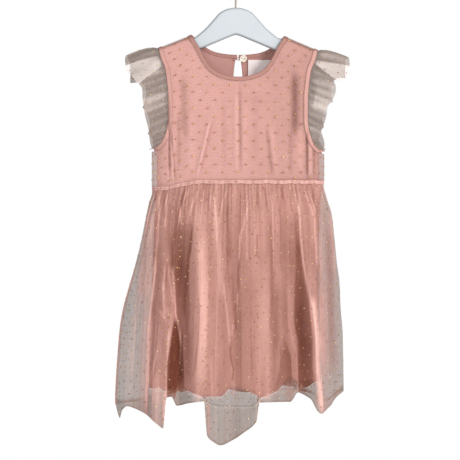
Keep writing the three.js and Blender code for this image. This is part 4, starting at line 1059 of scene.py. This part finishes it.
def curve_through(points, count):
    """Places along a smooth curve through points in the plane of x and z."""
    points = np.array(points, float)
    padded = np.concatenate([[2 * points[0] - points[1]], points, [2 * points[-1] - points[-2]]])
    knots = np.concatenate([[0], np.cumsum(np.sqrt(np.linalg.norm(np.diff(padded, axis=0), axis=1)))])
    result = []
    for t in np.linspace(knots[1], knots[-2] - 1e-6, count):
        k = int(np.clip(np.searchsorted(knots, t, "right") - 1, 1, len(points) - 1))
        p, n = padded[k - 1:k + 3], knots[k - 1:k + 3]
        a = [mix(p[i], p[i + 1], (t - n[i]) / (n[i + 1] - n[i])) for i in range(3)]
        b = [mix(a[i], a[i + 1], (t - n[i]) / (n[i + 2] - n[i])) for i in range(2)]
        result.append(mix(b[0], b[1], (t - n[1]) / (n[2] - n[1])))
    return np.array(result)


def end_faces(count, levels):
    """The two faces that close a tube of grid faces."""
    return [[k * levels for k in reversed(range(count))], [k * levels + levels - 1 for k in range(count)]]


def tube(name, path, y, radius, sides, rounded_start=False):
    """A round wire or thread along a path of x and z, with closed ends."""
    ahead = np.gradient(path, axis=0)
    ahead /= np.linalg.norm(ahead, axis=1, keepdims=True)
    radii = np.full(len(path), float(radius))
    if rounded_start:
        caps = np.array([0.12, 0.5, 0.8, 0.95])
        lead = [path[0] - ahead[0] * radius * math.sqrt(1 - c * c) for c in caps]
        path = np.concatenate([lead, path])
        ahead = np.concatenate([[ahead[0]] * len(caps), ahead])
        radii = np.concatenate([caps * radius, radii])
    turn = np.linspace(0, 2 * math.pi, sides + 1)[:-1]
    across = np.cos(turn)[None, :] * radii[:, None]
    x = path[:, :1] - ahead[:, 1:] * across
    z = path[:, 1:] + ahead[:, :1] * across
    places = stack(x, y + np.sin(turn)[None, :] * radii[:, None], z).transpose(1, 0, 2)
    faces = grid_faces(sides, len(path), looped=True) + end_faces(sides, len(path))
    return mesh_object(name, places.reshape(-1, 3), faces)


def button_loop():
    """The thread loop round the button's shank, from the other edge of the slit."""
    x, y, z = button_seat()
    around, apart = LOOP["around"], LOOP["apart"]
    turns = np.linspace(-math.pi * 0.6, math.pi * 0.6, 9)
    bend = [(x + around * math.cos(t), z + around * math.sin(t)) for t in turns]
    path = curve_through([(LOOP["root"], z - apart), *bend, (LOOP["root"], z + apart)], 90)
    return tube("thread_loop", path + (DRESS_X, 0), y - LOOP["forward"], LOOP["wire"], 12)


def neck_label():
    """A blank label that hangs inside the back neck and curls forward at its foot."""
    x = np.linspace(LABEL["from"], LABEL["from"] + LABEL["width"], 49)[:, None]
    down = np.linspace(LABEL["top"], LABEL["top"] + LABEL["height"], 41)[None, :]
    turn = math.acos(-(LABEL["from"] + LABEL["width"] / 2) / (NECK_HALF + BAND_WIDTH))
    z = neck_place(BACK, turn, BAND_WIDTH)[1] - LABEL["below"] - down
    place = on_bodice(LINING, BACK, x, z)
    curl = 1.6 * smooth((down - 12) / 24) ** 2 + 0.35 * np.sin(x * 0.35) * smooth((down - 6) / 20)
    place[..., 1] -= LABEL["off"] + curl
    return shell("blank_neck_label", place, LABEL["thick"])


# The hanger and its hook, as in the part's source
HANGER_ARCH = [(0, -62), (13, -64), (24, -69.5), (35, -81.5), (46, -93.5), (56, -102), (64, -107.6)]
HANGER = {
    "flat": 1, "bevel": 4, "cap": 0.8, "clear": 1.45, "tip": 11, "reach": 112, "arm_from": 74,
    "under": -103, "under_slope": 0.42, "under_round": 3, "under_to": 86,
}
HOOK = {"wire": 1.7, "inside": 19}
HOOK_SHANK = [(4.5, -41), (0.4, -47), (0, -52), (0, -60), (0, -77.5)]


def hanger_outline():
    """The flat outline of the hanger's body, from the top of its middle round by the right."""
    def arm_top(x):
        return float(min(shoulder_line(-x - DRESS_X), shoulder_line(x - DRESS_X))) - HANGER["clear"]

    def under(x):
        slope, soft = HANGER["under_slope"], HANGER["under_round"]
        return HANGER["under"] - slope * math.sqrt(x * x + soft * soft) + slope * soft

    lean = math.atan(SHOULDER_SLOPE)
    tip, arm_from = HANGER["tip"], HANGER["arm_from"]
    last_x = HANGER["reach"] - tip * (1 - math.sin(lean))
    tip_x, tip_z = last_x - tip * math.sin(lean), arm_top(last_x) - tip * math.cos(lean)
    ahead = [(x, arm_top(x)) for x in (arm_from, arm_from + 10)]
    start = curve_through([(-13, -64), *HANGER_ARCH, *ahead], 90)
    start = start[(start[:, 0] >= 0) & (start[:, 0] < arm_from - 0.1)]
    arm = [(x, arm_top(x)) for x in np.linspace(arm_from, last_x, 12)[:-1]]
    turns = np.linspace(math.pi / 2 - lean, -math.pi * 0.58, 30)
    around = [(tip_x + tip * math.cos(t), tip_z + tip * math.sin(t)) for t in turns]
    foot = [(x, under(x)) for x in np.linspace(HANGER["under_to"], 0, 40)]
    right = np.array([*start, *arm, *around, *foot])
    return np.concatenate([right, (right[1:-1] * (-1, 1))[::-1]])


def hanger_body():
    """The flat body with its edges rounded over, and how near each place is to its rim, where the paint gets
    painted shade.
    """
    outline = hanger_outline()
    ahead = np.roll(outline, -1, 0) - np.roll(outline, 1, 0)
    ahead /= np.linalg.norm(ahead, axis=1, keepdims=True)
    inward = np.stack([ahead[:, 1], -ahead[:, 0]], axis=1)
    bevel, flat = HANGER["bevel"], HANGER["flat"]
    half = [(bevel * (1 - math.cos(a)), flat + bevel * math.sin(a)) for a in np.linspace(0, math.pi / 2, 9)]
    half.append((bevel + HANGER["cap"], half[-1][1]))
    rings = [(d, -y) for d, y in reversed(half)] + half
    places = [stack(outline[:, 0] + inward[:, 0] * d, y, outline[:, 1] + inward[:, 1] * d) for d, y in rings]
    places = np.stack(places, axis=1)
    count, levels = places.shape[:2]
    faces = grid_faces(count, levels, looped=True) + end_faces(count, levels)
    obj = mesh_object("painted_hanger", places.reshape(-1, 3), faces)
    rim = 1 - smooth(np.array([d for d, _ in rings]) / bevel)
    attribute(obj, "rim", np.tile(rim, count))
    return obj


def hanger_hook():
    radius = HOOK["inside"] + HOOK["wire"]
    turns = np.linspace(math.pi * 1.14, -math.pi * 0.24, 13)
    bend = [(radius * math.cos(t), radius * math.sin(t) - HOOK["inside"]) for t in turns]
    path = curve_through([*bend, *HOOK_SHANK], 170)
    return tube("wire_hook", path, 0, HOOK["wire"], 20, rounded_start=True)


# Foil dots, the pulled threads beside them, and stitches
DISC = {"sides": 7, "least": 0.82, "most": 1.12, "high": 0.3, "thread_high": 0.12, "crown": 1.4}
DASH_REACH = 108  # how far from the middle the pulled threads still lie flat on the bodice


def sprinkle(name, spots, radius, dash=None):
    """Small raised foil discs, joined: each spot is its place and two lengths of cloth beside it.

    dash adds the pulled threads beside each disc, as the half length and half width of a slim disc.
    """
    sides = DISC["sides"]
    places, faces, tones = [], [], []
    shapes = [(spot, None) for spot in spots]
    shapes += [(spot, dash) for spot in spots if dash and abs(spot[0][0]) < DASH_REACH]
    for (centre, du, dv), slim in shapes:
        normal = np.cross(du, dv)
        if np.linalg.norm(normal) < 1e-9:
            continue
        normal /= np.linalg.norm(normal)
        if normal[1] * centre[1] < 0:
            normal = -normal
        u = du / np.linalg.norm(du)
        v = np.cross(normal, u)
        size = dice.uniform(DISC["least"], DISC["most"])
        long, wide = slim or (radius, radius)
        high = DISC["thread_high"] if slim else DISC["high"]
        first = len(places)
        for lift in (high, -high):
            places.append(centre + normal * lift * DISC["crown"])
            for k in range(sides):
                a = 2 * math.pi * k / sides
                flat = long * math.cos(a) * u + wide * math.sin(a) * v
                places.append(centre + normal * lift + size * flat)
        for k in range(sides):
            a, b = first + 1 + k, first + 1 + (k + 1) % sides
            faces += [[first, a, b], [first + sides + 1, b + sides + 1, a + sides + 1]]
            faces.append([a, a + sides + 1, b + sides + 1, b])
        tones += [dice.random()] * (2 * sides + 2)
    obj = cloth_object(name, np.array(places), faces)
    attribute(obj, "tone", tones)
    return obj


def on_grid(places, u, v):
    """The place at fractional steps u and v of a grid, and two lengths of cloth beside it."""
    i, j = min(int(u), places.shape[0] - 2), min(int(v), places.shape[1] - 2)
    a, b, c, d = places[i, j], places[i + 1, j], places[i, j + 1], places[i + 1, j + 1]
    s, t = u - i, v - j
    centre = mix(mix(a, b, s), mix(c, d, s), t)
    return centre, mix(b - a, d - c, t), mix(c - a, d - b, s)


def grid_dots(name, places, across, down, radius, stray):
    """Dots in staggered rows on a grid of cloth, with across and down the millimetres between them."""
    size = np.linalg.norm(np.diff(places, axis=0), axis=2)
    lengths = np.linalg.norm(np.diff(places, axis=1), axis=2)
    middle = size.shape[1] // 2
    run = np.concatenate([[0], np.cumsum(size[:, middle])])
    spots = []
    row = 0
    depth = down * 0.7
    deepest = lengths.sum(1).max()
    while depth < deepest:
        start = across * (0.3 if row % 2 else 0.8)
        for at in np.arange(start, run[-1], across):
            at += dice.uniform(-stray, stray)
            u = float(np.interp(at, run, np.arange(len(run))))
            column = min(int(u), len(lengths) - 1)
            fall = np.concatenate([[0], np.cumsum(lengths[column])])
            here = depth + dice.uniform(-stray, stray)
            if here > fall[-1] - 1.5 or at > run[-1] - 3:
                continue
            v = float(np.interp(here, fall, np.arange(len(fall))))
            spots.append(on_grid(places, u, v))
        depth += down
        row += 1
    return sprinkle(name, spots, radius)


def bodice_dots(name, side, across=23.4, down=11.9, radius=1.3):
    """Dots in staggered rows on the tulle bodice, each with its pulled threads."""
    outline = bodice_outline(TULLE, side)
    loop = np.stack(unroll(TULLE, outline[:, 0], outline[:, 1]), axis=1)
    flat = []
    for row, v in enumerate(np.arange(9, loop[:, 1].max(), down)):
        start = loop[:, 0].min() + (across / 2 if row % 2 else 0) + 4
        for u in np.arange(start, loop[:, 0].max(), across):
            flat.append((u + dice.uniform(-0.7, 0.7), v + dice.uniform(-0.7, 0.7)))
    flat = np.array(flat)
    flat = flat[within(flat, loop, 2.6)]

    def place(u, v):
        return on_bodice(TULLE, side, *roll_up(TULLE, np.float64(u), np.float64(v)))

    spots = []
    for u, v in flat:
        centre = place(u, v)
        spots.append((centre, place(u + 1, v) - centre, place(u, v + 1) - centre))
    return sprinkle(name, spots, radius, dash=(4.8, 0.24))


def stitch_row(name, path, lift, pitch=3.1, length=2.2, radius=0.2, sides=6):
    """Short threads in a row along places, each a slim tapered bead. lift gives the way out of the cloth."""
    long = np.concatenate([[0], np.cumsum(np.linalg.norm(np.diff(path, axis=0), axis=1))])

    def along(rows, s):
        return np.array([np.interp(s, long, rows[:, k]) for k in range(3)])

    places, faces = [], []
    for at in np.arange(pitch / 2, long[-1] - length / 2, pitch):
        start, end = along(path, at - length / 2), along(path, at + length / 2)
        up = along(lift, at)
        up /= max(np.linalg.norm(up), 1e-9)
        ahead = end - start
        ahead /= max(np.linalg.norm(ahead), 1e-9)
        side = np.cross(ahead, up)
        first = len(places)
        places.append(start)
        for share in (0.25, 0.75):
            centre = mix(start, end, share) + up * radius * 0.5
            for k in range(sides):
                a = 2 * math.pi * k / sides
                places.append(centre + radius * (math.cos(a) * side + math.sin(a) * up))
        places.append(end)
        last = first + 2 * sides + 1
        for k in range(sides):
            a, b = first + 1 + k, first + 1 + (k + 1) % sides
            faces += [[first, a, b], [a, a + sides, b + sides, b], [a + sides, last, b + sides]]
    return cloth_object(name, np.array(places), faces)


# Materials
WAVE_UNIT = 6.283  # a knit's pitch over the scale of its wave textures


def linear(r, g, b):
    """A colour that a screen shows as r, g, b, as light."""
    def light(c):
        return c / 255 / 12.92 if c < 10.3 else ((c / 255 + 0.055) / 1.055) ** 2.4

    return light(r), light(g), light(b), 1


class Finish:
    """A material of nodes. A value that is a node or a socket is linked, and any other is set."""

    def __init__(self, name):
        self.material = bpy.data.materials.new(name)
        self.material.use_nodes = True
        self.tree = self.material.node_tree
        self.shader = self.tree.nodes["Principled BSDF"]

    def node(self, kind, inputs=(), **settings):
        node = self.tree.nodes.new(kind)
        for key, value in settings.items():
            setattr(node, key, value)
        for key, value in dict(inputs).items():
            self.put(node.inputs[key], value)
        return node

    def put(self, socket, value):
        if isinstance(value, bpy.types.Node):
            value = value.outputs[0]
        if isinstance(value, bpy.types.NodeSocket):
            self.tree.links.new(value, socket)
        else:
            socket.default_value = value

    def shade(self, **inputs):
        for key, value in inputs.items():
            self.put(self.shader.inputs[key.replace("_", " ")], value)

    def maths(self, operation, a, b=0.0):
        return self.node("ShaderNodeMath", {0: a, 1: b}, operation=operation)

    def add(self, a, b):
        return self.maths("ADD", a, b)

    def times(self, a, b):
        return self.maths("MULTIPLY", a, b)

    def centred(self, value):
        """A value from 0 to 1, moved to lie round 0."""
        return self.maths("SUBTRACT", value, 0.5)

    def place(self, x, y, z):
        coordinates = self.node("ShaderNodeTexCoord")
        return self.node("ShaderNodeMapping", {"Vector": coordinates.outputs["Object"], "Scale": (x, y, z)})

    def noise(self, scale, detail=3.0, stretch=(1, 1, 1), roughness=0.55):
        return self.node("ShaderNodeTexNoise", {
            "Vector": self.place(*stretch), "Scale": scale, "Detail": detail, "Roughness": roughness,
        })

    def wave(self, direction, scale, stretch=(1, 1, 1), **inputs):
        inputs = {"Vector": self.place(*stretch), "Scale": scale, **inputs}
        return self.node("ShaderNodeTexWave", inputs, bands_direction=direction).outputs["Fac"]

    def spread(self, value, low, high, to_low, to_high):
        return self.node("ShaderNodeMapRange", {
            "Value": value, "From Min": low, "From Max": high, "To Min": to_low, "To Max": to_high,
        })

    def blend(self, amount, a, b):
        return self.node("ShaderNodeMix", {0: amount, 6: a, 7: b}, data_type="RGBA").outputs[2]

    def toned(self, tone, body, deep, light):
        """A colour that turns deep where the tone is below 0 and light where it is above."""
        body = self.blend(self.spread(tone, 0.0, -1.0, 0.0, 1.0), body, deep)
        return self.blend(self.spread(tone, 0.0, 1.0, 0.0, 1.0), body, light)

    def read(self, name):
        return self.node("ShaderNodeAttribute", attribute_name=name).outputs["Fac"]

    def bump(self, height, strength, distance):
        return self.node("ShaderNodeBump", {"Height": height, "Strength": strength, "Distance": distance})


def jersey(name, colour, deep, light, pitch=1250):
    """Fine knit of courses and ribs with a soft mottle, and the painted shade and light that its cloth's
    tone gives.
    """
    f = Finish(name)
    courses = f.wave("Z", pitch / WAVE_UNIT, Distortion=1.2, Detail=1.0)
    ribs = f.wave("X", pitch / WAVE_UNIT * 0.8, (1, 0, 0), Distortion=0.8, Detail=1.0)
    knit = f.add(f.times(courses, 0.7), f.times(ribs, 0.3))
    tone = f.add(f.times(f.centred(f.noise(38, 4)), 0.35), f.times(f.centred(knit), 0.2))
    height = f.add(knit, f.times(f.noise(900, 2), 0.6))
    f.shade(
        Base_Color=f.toned(f.add(tone, f.read("tone")), colour, deep, light), Roughness=0.88,
        Normal=f.bump(height, 0.14, 0.0004), Sheen_Weight=0.2, Sheen_Roughness=0.5, Specular_IOR_Level=0.25,
    )
    return f.material


def net(name, colour, deep, light, bare, dense, streak, streaks=0.3, speckle=0.25):
    """Sheer net. Its cloth says its painted light and shade (tone), and how dense, bare behind and covered
    it is at each place.
    """
    f = Finish(name)
    threads = f.centred(f.noise(1, 2, streak))
    holes = f.centred(f.noise(1100, 1))
    tone = f.add(f.read("tone"), f.times(threads, streaks))
    tone = f.add(tone, f.times(f.centred(f.noise(26, 2)), 0.4))
    body = f.blend(f.read("dense"), f.blend(f.read("bare"), colour, bare), dense)
    grain = f.add(f.times(threads, streaks * 0.6), f.times(holes, speckle))
    f.shade(
        Base_Color=f.toned(tone, body, deep, light), Roughness=0.75,
        Alpha=f.node("ShaderNodeClamp", {"Value": f.add(f.read("cover"), grain), "Min": 0.08, "Max": 0.96}),
        Normal=f.bump(f.add(threads, holes), 0.15, 0.0003), Sheen_Weight=0.15, Specular_IOR_Level=0.2,
    )
    return f.material


def foil(name, bronze, gold, rarity):
    """Gold foil: some dots catch the light and some are bronze."""
    f = Finish(name)
    grain = f.noise(1500, 2)
    f.shade(
        Base_Color=f.blend(f.maths("POWER", f.read("tone"), rarity), bronze, gold),
        Roughness=f.spread(grain, 0.3, 0.7, 0.3, 0.5), Metallic=0.75, Normal=f.bump(grain, 0.3, 0.0002),
    )
    return f.material


def plain(name, colour, other, roughness, scale, metallic=0.0, bump=0.1, stretch=(1, 1, 1), coat=0.0):
    """A smooth solid finish with a faint variation of colour and gloss."""
    f = Finish(name)
    grain = f.noise(scale, 4, stretch)
    f.shade(
        Base_Color=f.blend(f.spread(grain, 0.3, 0.7, 0.0, 1.0), colour, other),
        Roughness=f.spread(grain, 0.3, 0.7, roughness - 0.05, roughness + 0.05),
        Metallic=metallic, Coat_Weight=coat, Normal=f.bump(grain, bump, 0.0002),
    )
    return f.material


def paint():
    """Smooth satin paint, with painted shade round the rounded rim."""
    f = Finish("satin_paint")
    body = f.spread(f.noise(30, 4), 0.3, 0.7, 0.0, 1.0)
    body = f.blend(body, linear(201, 206, 210), linear(197, 203, 208))
    # Painted shade on the rounded rim
    body = f.blend(f.read("rim"), body, linear(156, 161, 165))
    f.shade(Base_Color=body, Roughness=0.5, Specular_IOR_Level=0.3)
    return f.material


def ribbon():
    """Blank woven ribbon of fine crossed threads."""
    f = Finish("blank_ribbon")
    weave = f.times(f.wave("X", 330.0), f.wave("Z", 260.0))
    tone = f.add(f.times(weave, 0.3), f.noise(60, 3))
    body = f.blend(f.spread(tone, 0.3, 0.9, 0.0, 1.0), linear(240, 226, 224), linear(252, 246, 245))
    f.shade(Base_Color=body, Roughness=0.6, Normal=f.bump(weave, 0.25, 0.0002), Sheen_Weight=0.3)
    return f.material


# Each cloth's deep and light colours are the ends of its painted shade and painted light
JERSEY = jersey("rose_jersey", linear(226, 176, 168), linear(150, 104, 94), linear(244, 196, 188))
SKIRT_JERSEY = jersey("rose_skirt_jersey", linear(195, 140, 127), linear(112, 54, 38), linear(246, 190, 176))
TRIM_CLOTH = jersey("rose_binding", linear(205, 156, 146), linear(150, 104, 94), linear(228, 180, 170), 1500)
BODICE_NET = net(
    "bodice_tulle", linear(214, 166, 156), linear(140, 98, 88), linear(238, 196, 188), linear(190, 160, 152),
    linear(214, 160, 150), (70, 70, 900), 0.55, 0.08,
)
SKIRT_NET = net(
    "skirt_tulle", linear(190, 143, 133), linear(120, 66, 48), linear(246, 200, 188), linear(138, 122, 114),
    linear(222, 166, 156), (420, 420, 10),
)
SLEEVE_NET = net(
    "sleeve_tulle", linear(142, 126, 118), linear(100, 86, 78), linear(240, 224, 216), linear(142, 126, 118),
    linear(168, 140, 130), (300, 300, 60),
)
FOIL = foil("gold_foil", linear(158, 108, 62), linear(255, 228, 168), 2.6)
BODICE_FOIL = foil("bodice_foil", linear(188, 130, 92), linear(246, 206, 148), 2.0)
THREAD = plain("rose_thread", linear(214, 158, 148), linear(196, 138, 128), 0.7, 700)
PEARL = plain("pearl_plastic", linear(236, 228, 212), linear(222, 208, 190), 0.25, 160, coat=0.4)
PAINT = paint()
STEEL = plain(
    "brushed_wire", linear(176, 170, 160), linear(164, 158, 148), 0.42, 1,
    metallic=1.0, bump=0.03, stretch=(300, 300, 60),
)
RIBBON = ribbon()


def finish_piece(obj, material, slot, *nodes):
    """Gives a piece its material and its body, and hides the solids that it stands for. slot is not used."""
    obj.data.materials.append(material)
    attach(obj, "root")
    if nodes:
        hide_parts(*nodes)
    return obj


for side, word in SIDE_NAMES.items():
    lining = bodice_panel(f"jersey_bodice_{word}", LINING, side)
    finish_piece(lining, JERSEY, "jersey", f"bodice_lining_{word}")
    overlay = bodice_panel(f"dotted_bodice_{word}", TULLE, side, 1.9)
    finish_piece(overlay, BODICE_NET, "tulle", f"bodice_tulle_{word}")
    finish_piece(bodice_dots(f"foil_dots_bodice_{word}", side), BODICE_FOIL, "tulle")

neck_middle, neck_piece = neckband()
finish_piece(neck_piece, TRIM_CLOTH, "trim", "neckband")
outside = grid_normals(neck_middle)[:, STITCHED]
stitches = stitch_row("neck_topstitch", neck_middle[:, STITCHED] + outside * STITCH_LIFT, outside)
finish_piece(stitches, THREAD, "trim")

slit_edge = finish_piece(keyhole_binding(), TRIM_CLOTH, "trim", "keyhole_binding")

for hand, word in HAND_NAMES.items():
    binding = armhole_binding(hand, f"armhole_binding_{word}")
    finish_piece(binding, TRIM_CLOTH, "trim", f"armhole_band_{word}")
    places, frill = ruffle(f"tulle_ruffle_{word}", hand)
    finish_piece(frill, SLEEVE_NET, "tulle", f"sleeve_ruffle_{word}")
    finish_piece(grid_dots(f"foil_dots_ruffle_{word}", places, 13.5, 11, 0.95, 1.8), FOIL, "tulle")

seam_band = waist_band()
finish_piece(seam_band, TRIM_CLOTH, "trim", "waist_band")

for side, word in SIDE_NAMES.items():
    lining = lining_skirt(f"jersey_skirt_{word}", side)
    finish_piece(lining, SKIRT_JERSEY, "jersey", f"skirt_lining_{word}")
    places, net = tulle_skirt(f"tulle_skirt_{word}", side)
    finish_piece(net, SKIRT_NET, "tulle", f"skirt_tulle_{word}")
    finish_piece(grid_dots(f"foil_dots_skirt_{word}", places, 13, 10.5, 0.95, 3.2), FOIL, "tulle")

finish_piece(button(), PEARL, "button", "button")
finish_piece(button_loop(), THREAD, "trim", "button_loop")
label = finish_piece(neck_label(), RIBBON, "label", "neck_label")
finish_piece(hanger_body(), PAINT, "hanger", "hanger_body")
finish_piece(hanger_hook(), STEEL, "hook", "hanger_hook")


# The floor's radius and level are in millimetres, and the other lengths here in metres
FLOOR = {"radius": 2600, "level": -1050.0, "sides": 96, "whole_to": 1.5, "gone_at": 2.75}
ALL_ROUND = 0.45  # strength of the light from all round, while the white behind the dress is 1
CAMERA = {"far": 4.0, "across": 0.69, "x": -0.009, "z": -0.3955}


def stage():
    """A pale round floor well below the hem, which fades out at its rim."""
    turn = np.linspace(0, 2 * math.pi, FLOOR["sides"] + 1)[:-1]
    x, y = FLOOR["radius"] * np.cos(turn), FLOOR["radius"] * np.sin(turn)
    floor = mesh_object("floor", stack(x, y, FLOOR["level"]), [list(range(FLOOR["sides"]))], False)
    f = Finish("pale_floor")
    place = f.node("ShaderNodeTexCoord").outputs["Object"]
    far = f.node("ShaderNodeVectorMath", {0: place}, operation="LENGTH").outputs["Value"]
    body = f.blend(f.noise(6, 2), linear(244, 244, 243), linear(248, 248, 248))
    alpha = f.spread(far, FLOOR["whole_to"], FLOOR["gone_at"], 1.0, 0.0)
    f.shade(Base_Color=body, Roughness=0.9, Alpha=alpha)
    floor.data.materials.append(f.material)


def world():
    """White behind the dress, and a softer white as the light from all round."""
    scene = bpy.context.scene
    scene.world = bpy.data.worlds.new("studio")
    scene.world.use_nodes = True
    tree = scene.world.node_tree
    paths = tree.nodes.new("ShaderNodeLightPath")
    strength = tree.nodes.new("ShaderNodeMapRange")
    strength.inputs["To Min"].default_value = ALL_ROUND
    strength.inputs["To Max"].default_value = 1.0
    tree.links.new(paths.outputs["Is Camera Ray"], strength.inputs["Value"])
    tree.links.new(strength.outputs[0], tree.nodes["Background"].inputs["Strength"])
    tree.nodes["Background"].inputs["Color"].default_value = (1, 1, 1, 1)
    scene.view_settings.view_transform = "Standard"


def light(name, place, aim, size, power):
    data = bpy.data.lights.new(name, "AREA")
    data.shape, data.size, data.energy = "DISK", size, power
    lamp = bpy.data.objects.new(name, data)
    lamp.location = place
    lamp.rotation_euler = (Vector(aim) - Vector(place)).to_track_quat("-Z", "Y").to_euler()
    bpy.context.collection.objects.link(lamp)


def camera():
    """Straight at the front, framed as the photograph is: 690 mm across at the hanger's plane."""
    data = bpy.data.cameras.new("camera")
    data.lens = data.sensor_width * CAMERA["far"] / CAMERA["across"]
    eye = bpy.data.objects.new("camera", data)
    eye.location = (CAMERA["x"], -CAMERA["far"], CAMERA["z"])
    eye.rotation_euler = (math.pi / 2, 0, 0)
    bpy.context.collection.objects.link(eye)
    bpy.context.scene.camera = eye


stage()
world()
light("key", (2.2, -2.2, 0.9), (0, 0, -0.35), 0.9, 78)
light("fill", (-1.2, -3.0, 0.3), (0, 0, -0.4), 1.8, 26)
light("back_light", (0.5, 2.9, 0.7), (0, 0, -0.35), 1.8, 75)
camera()
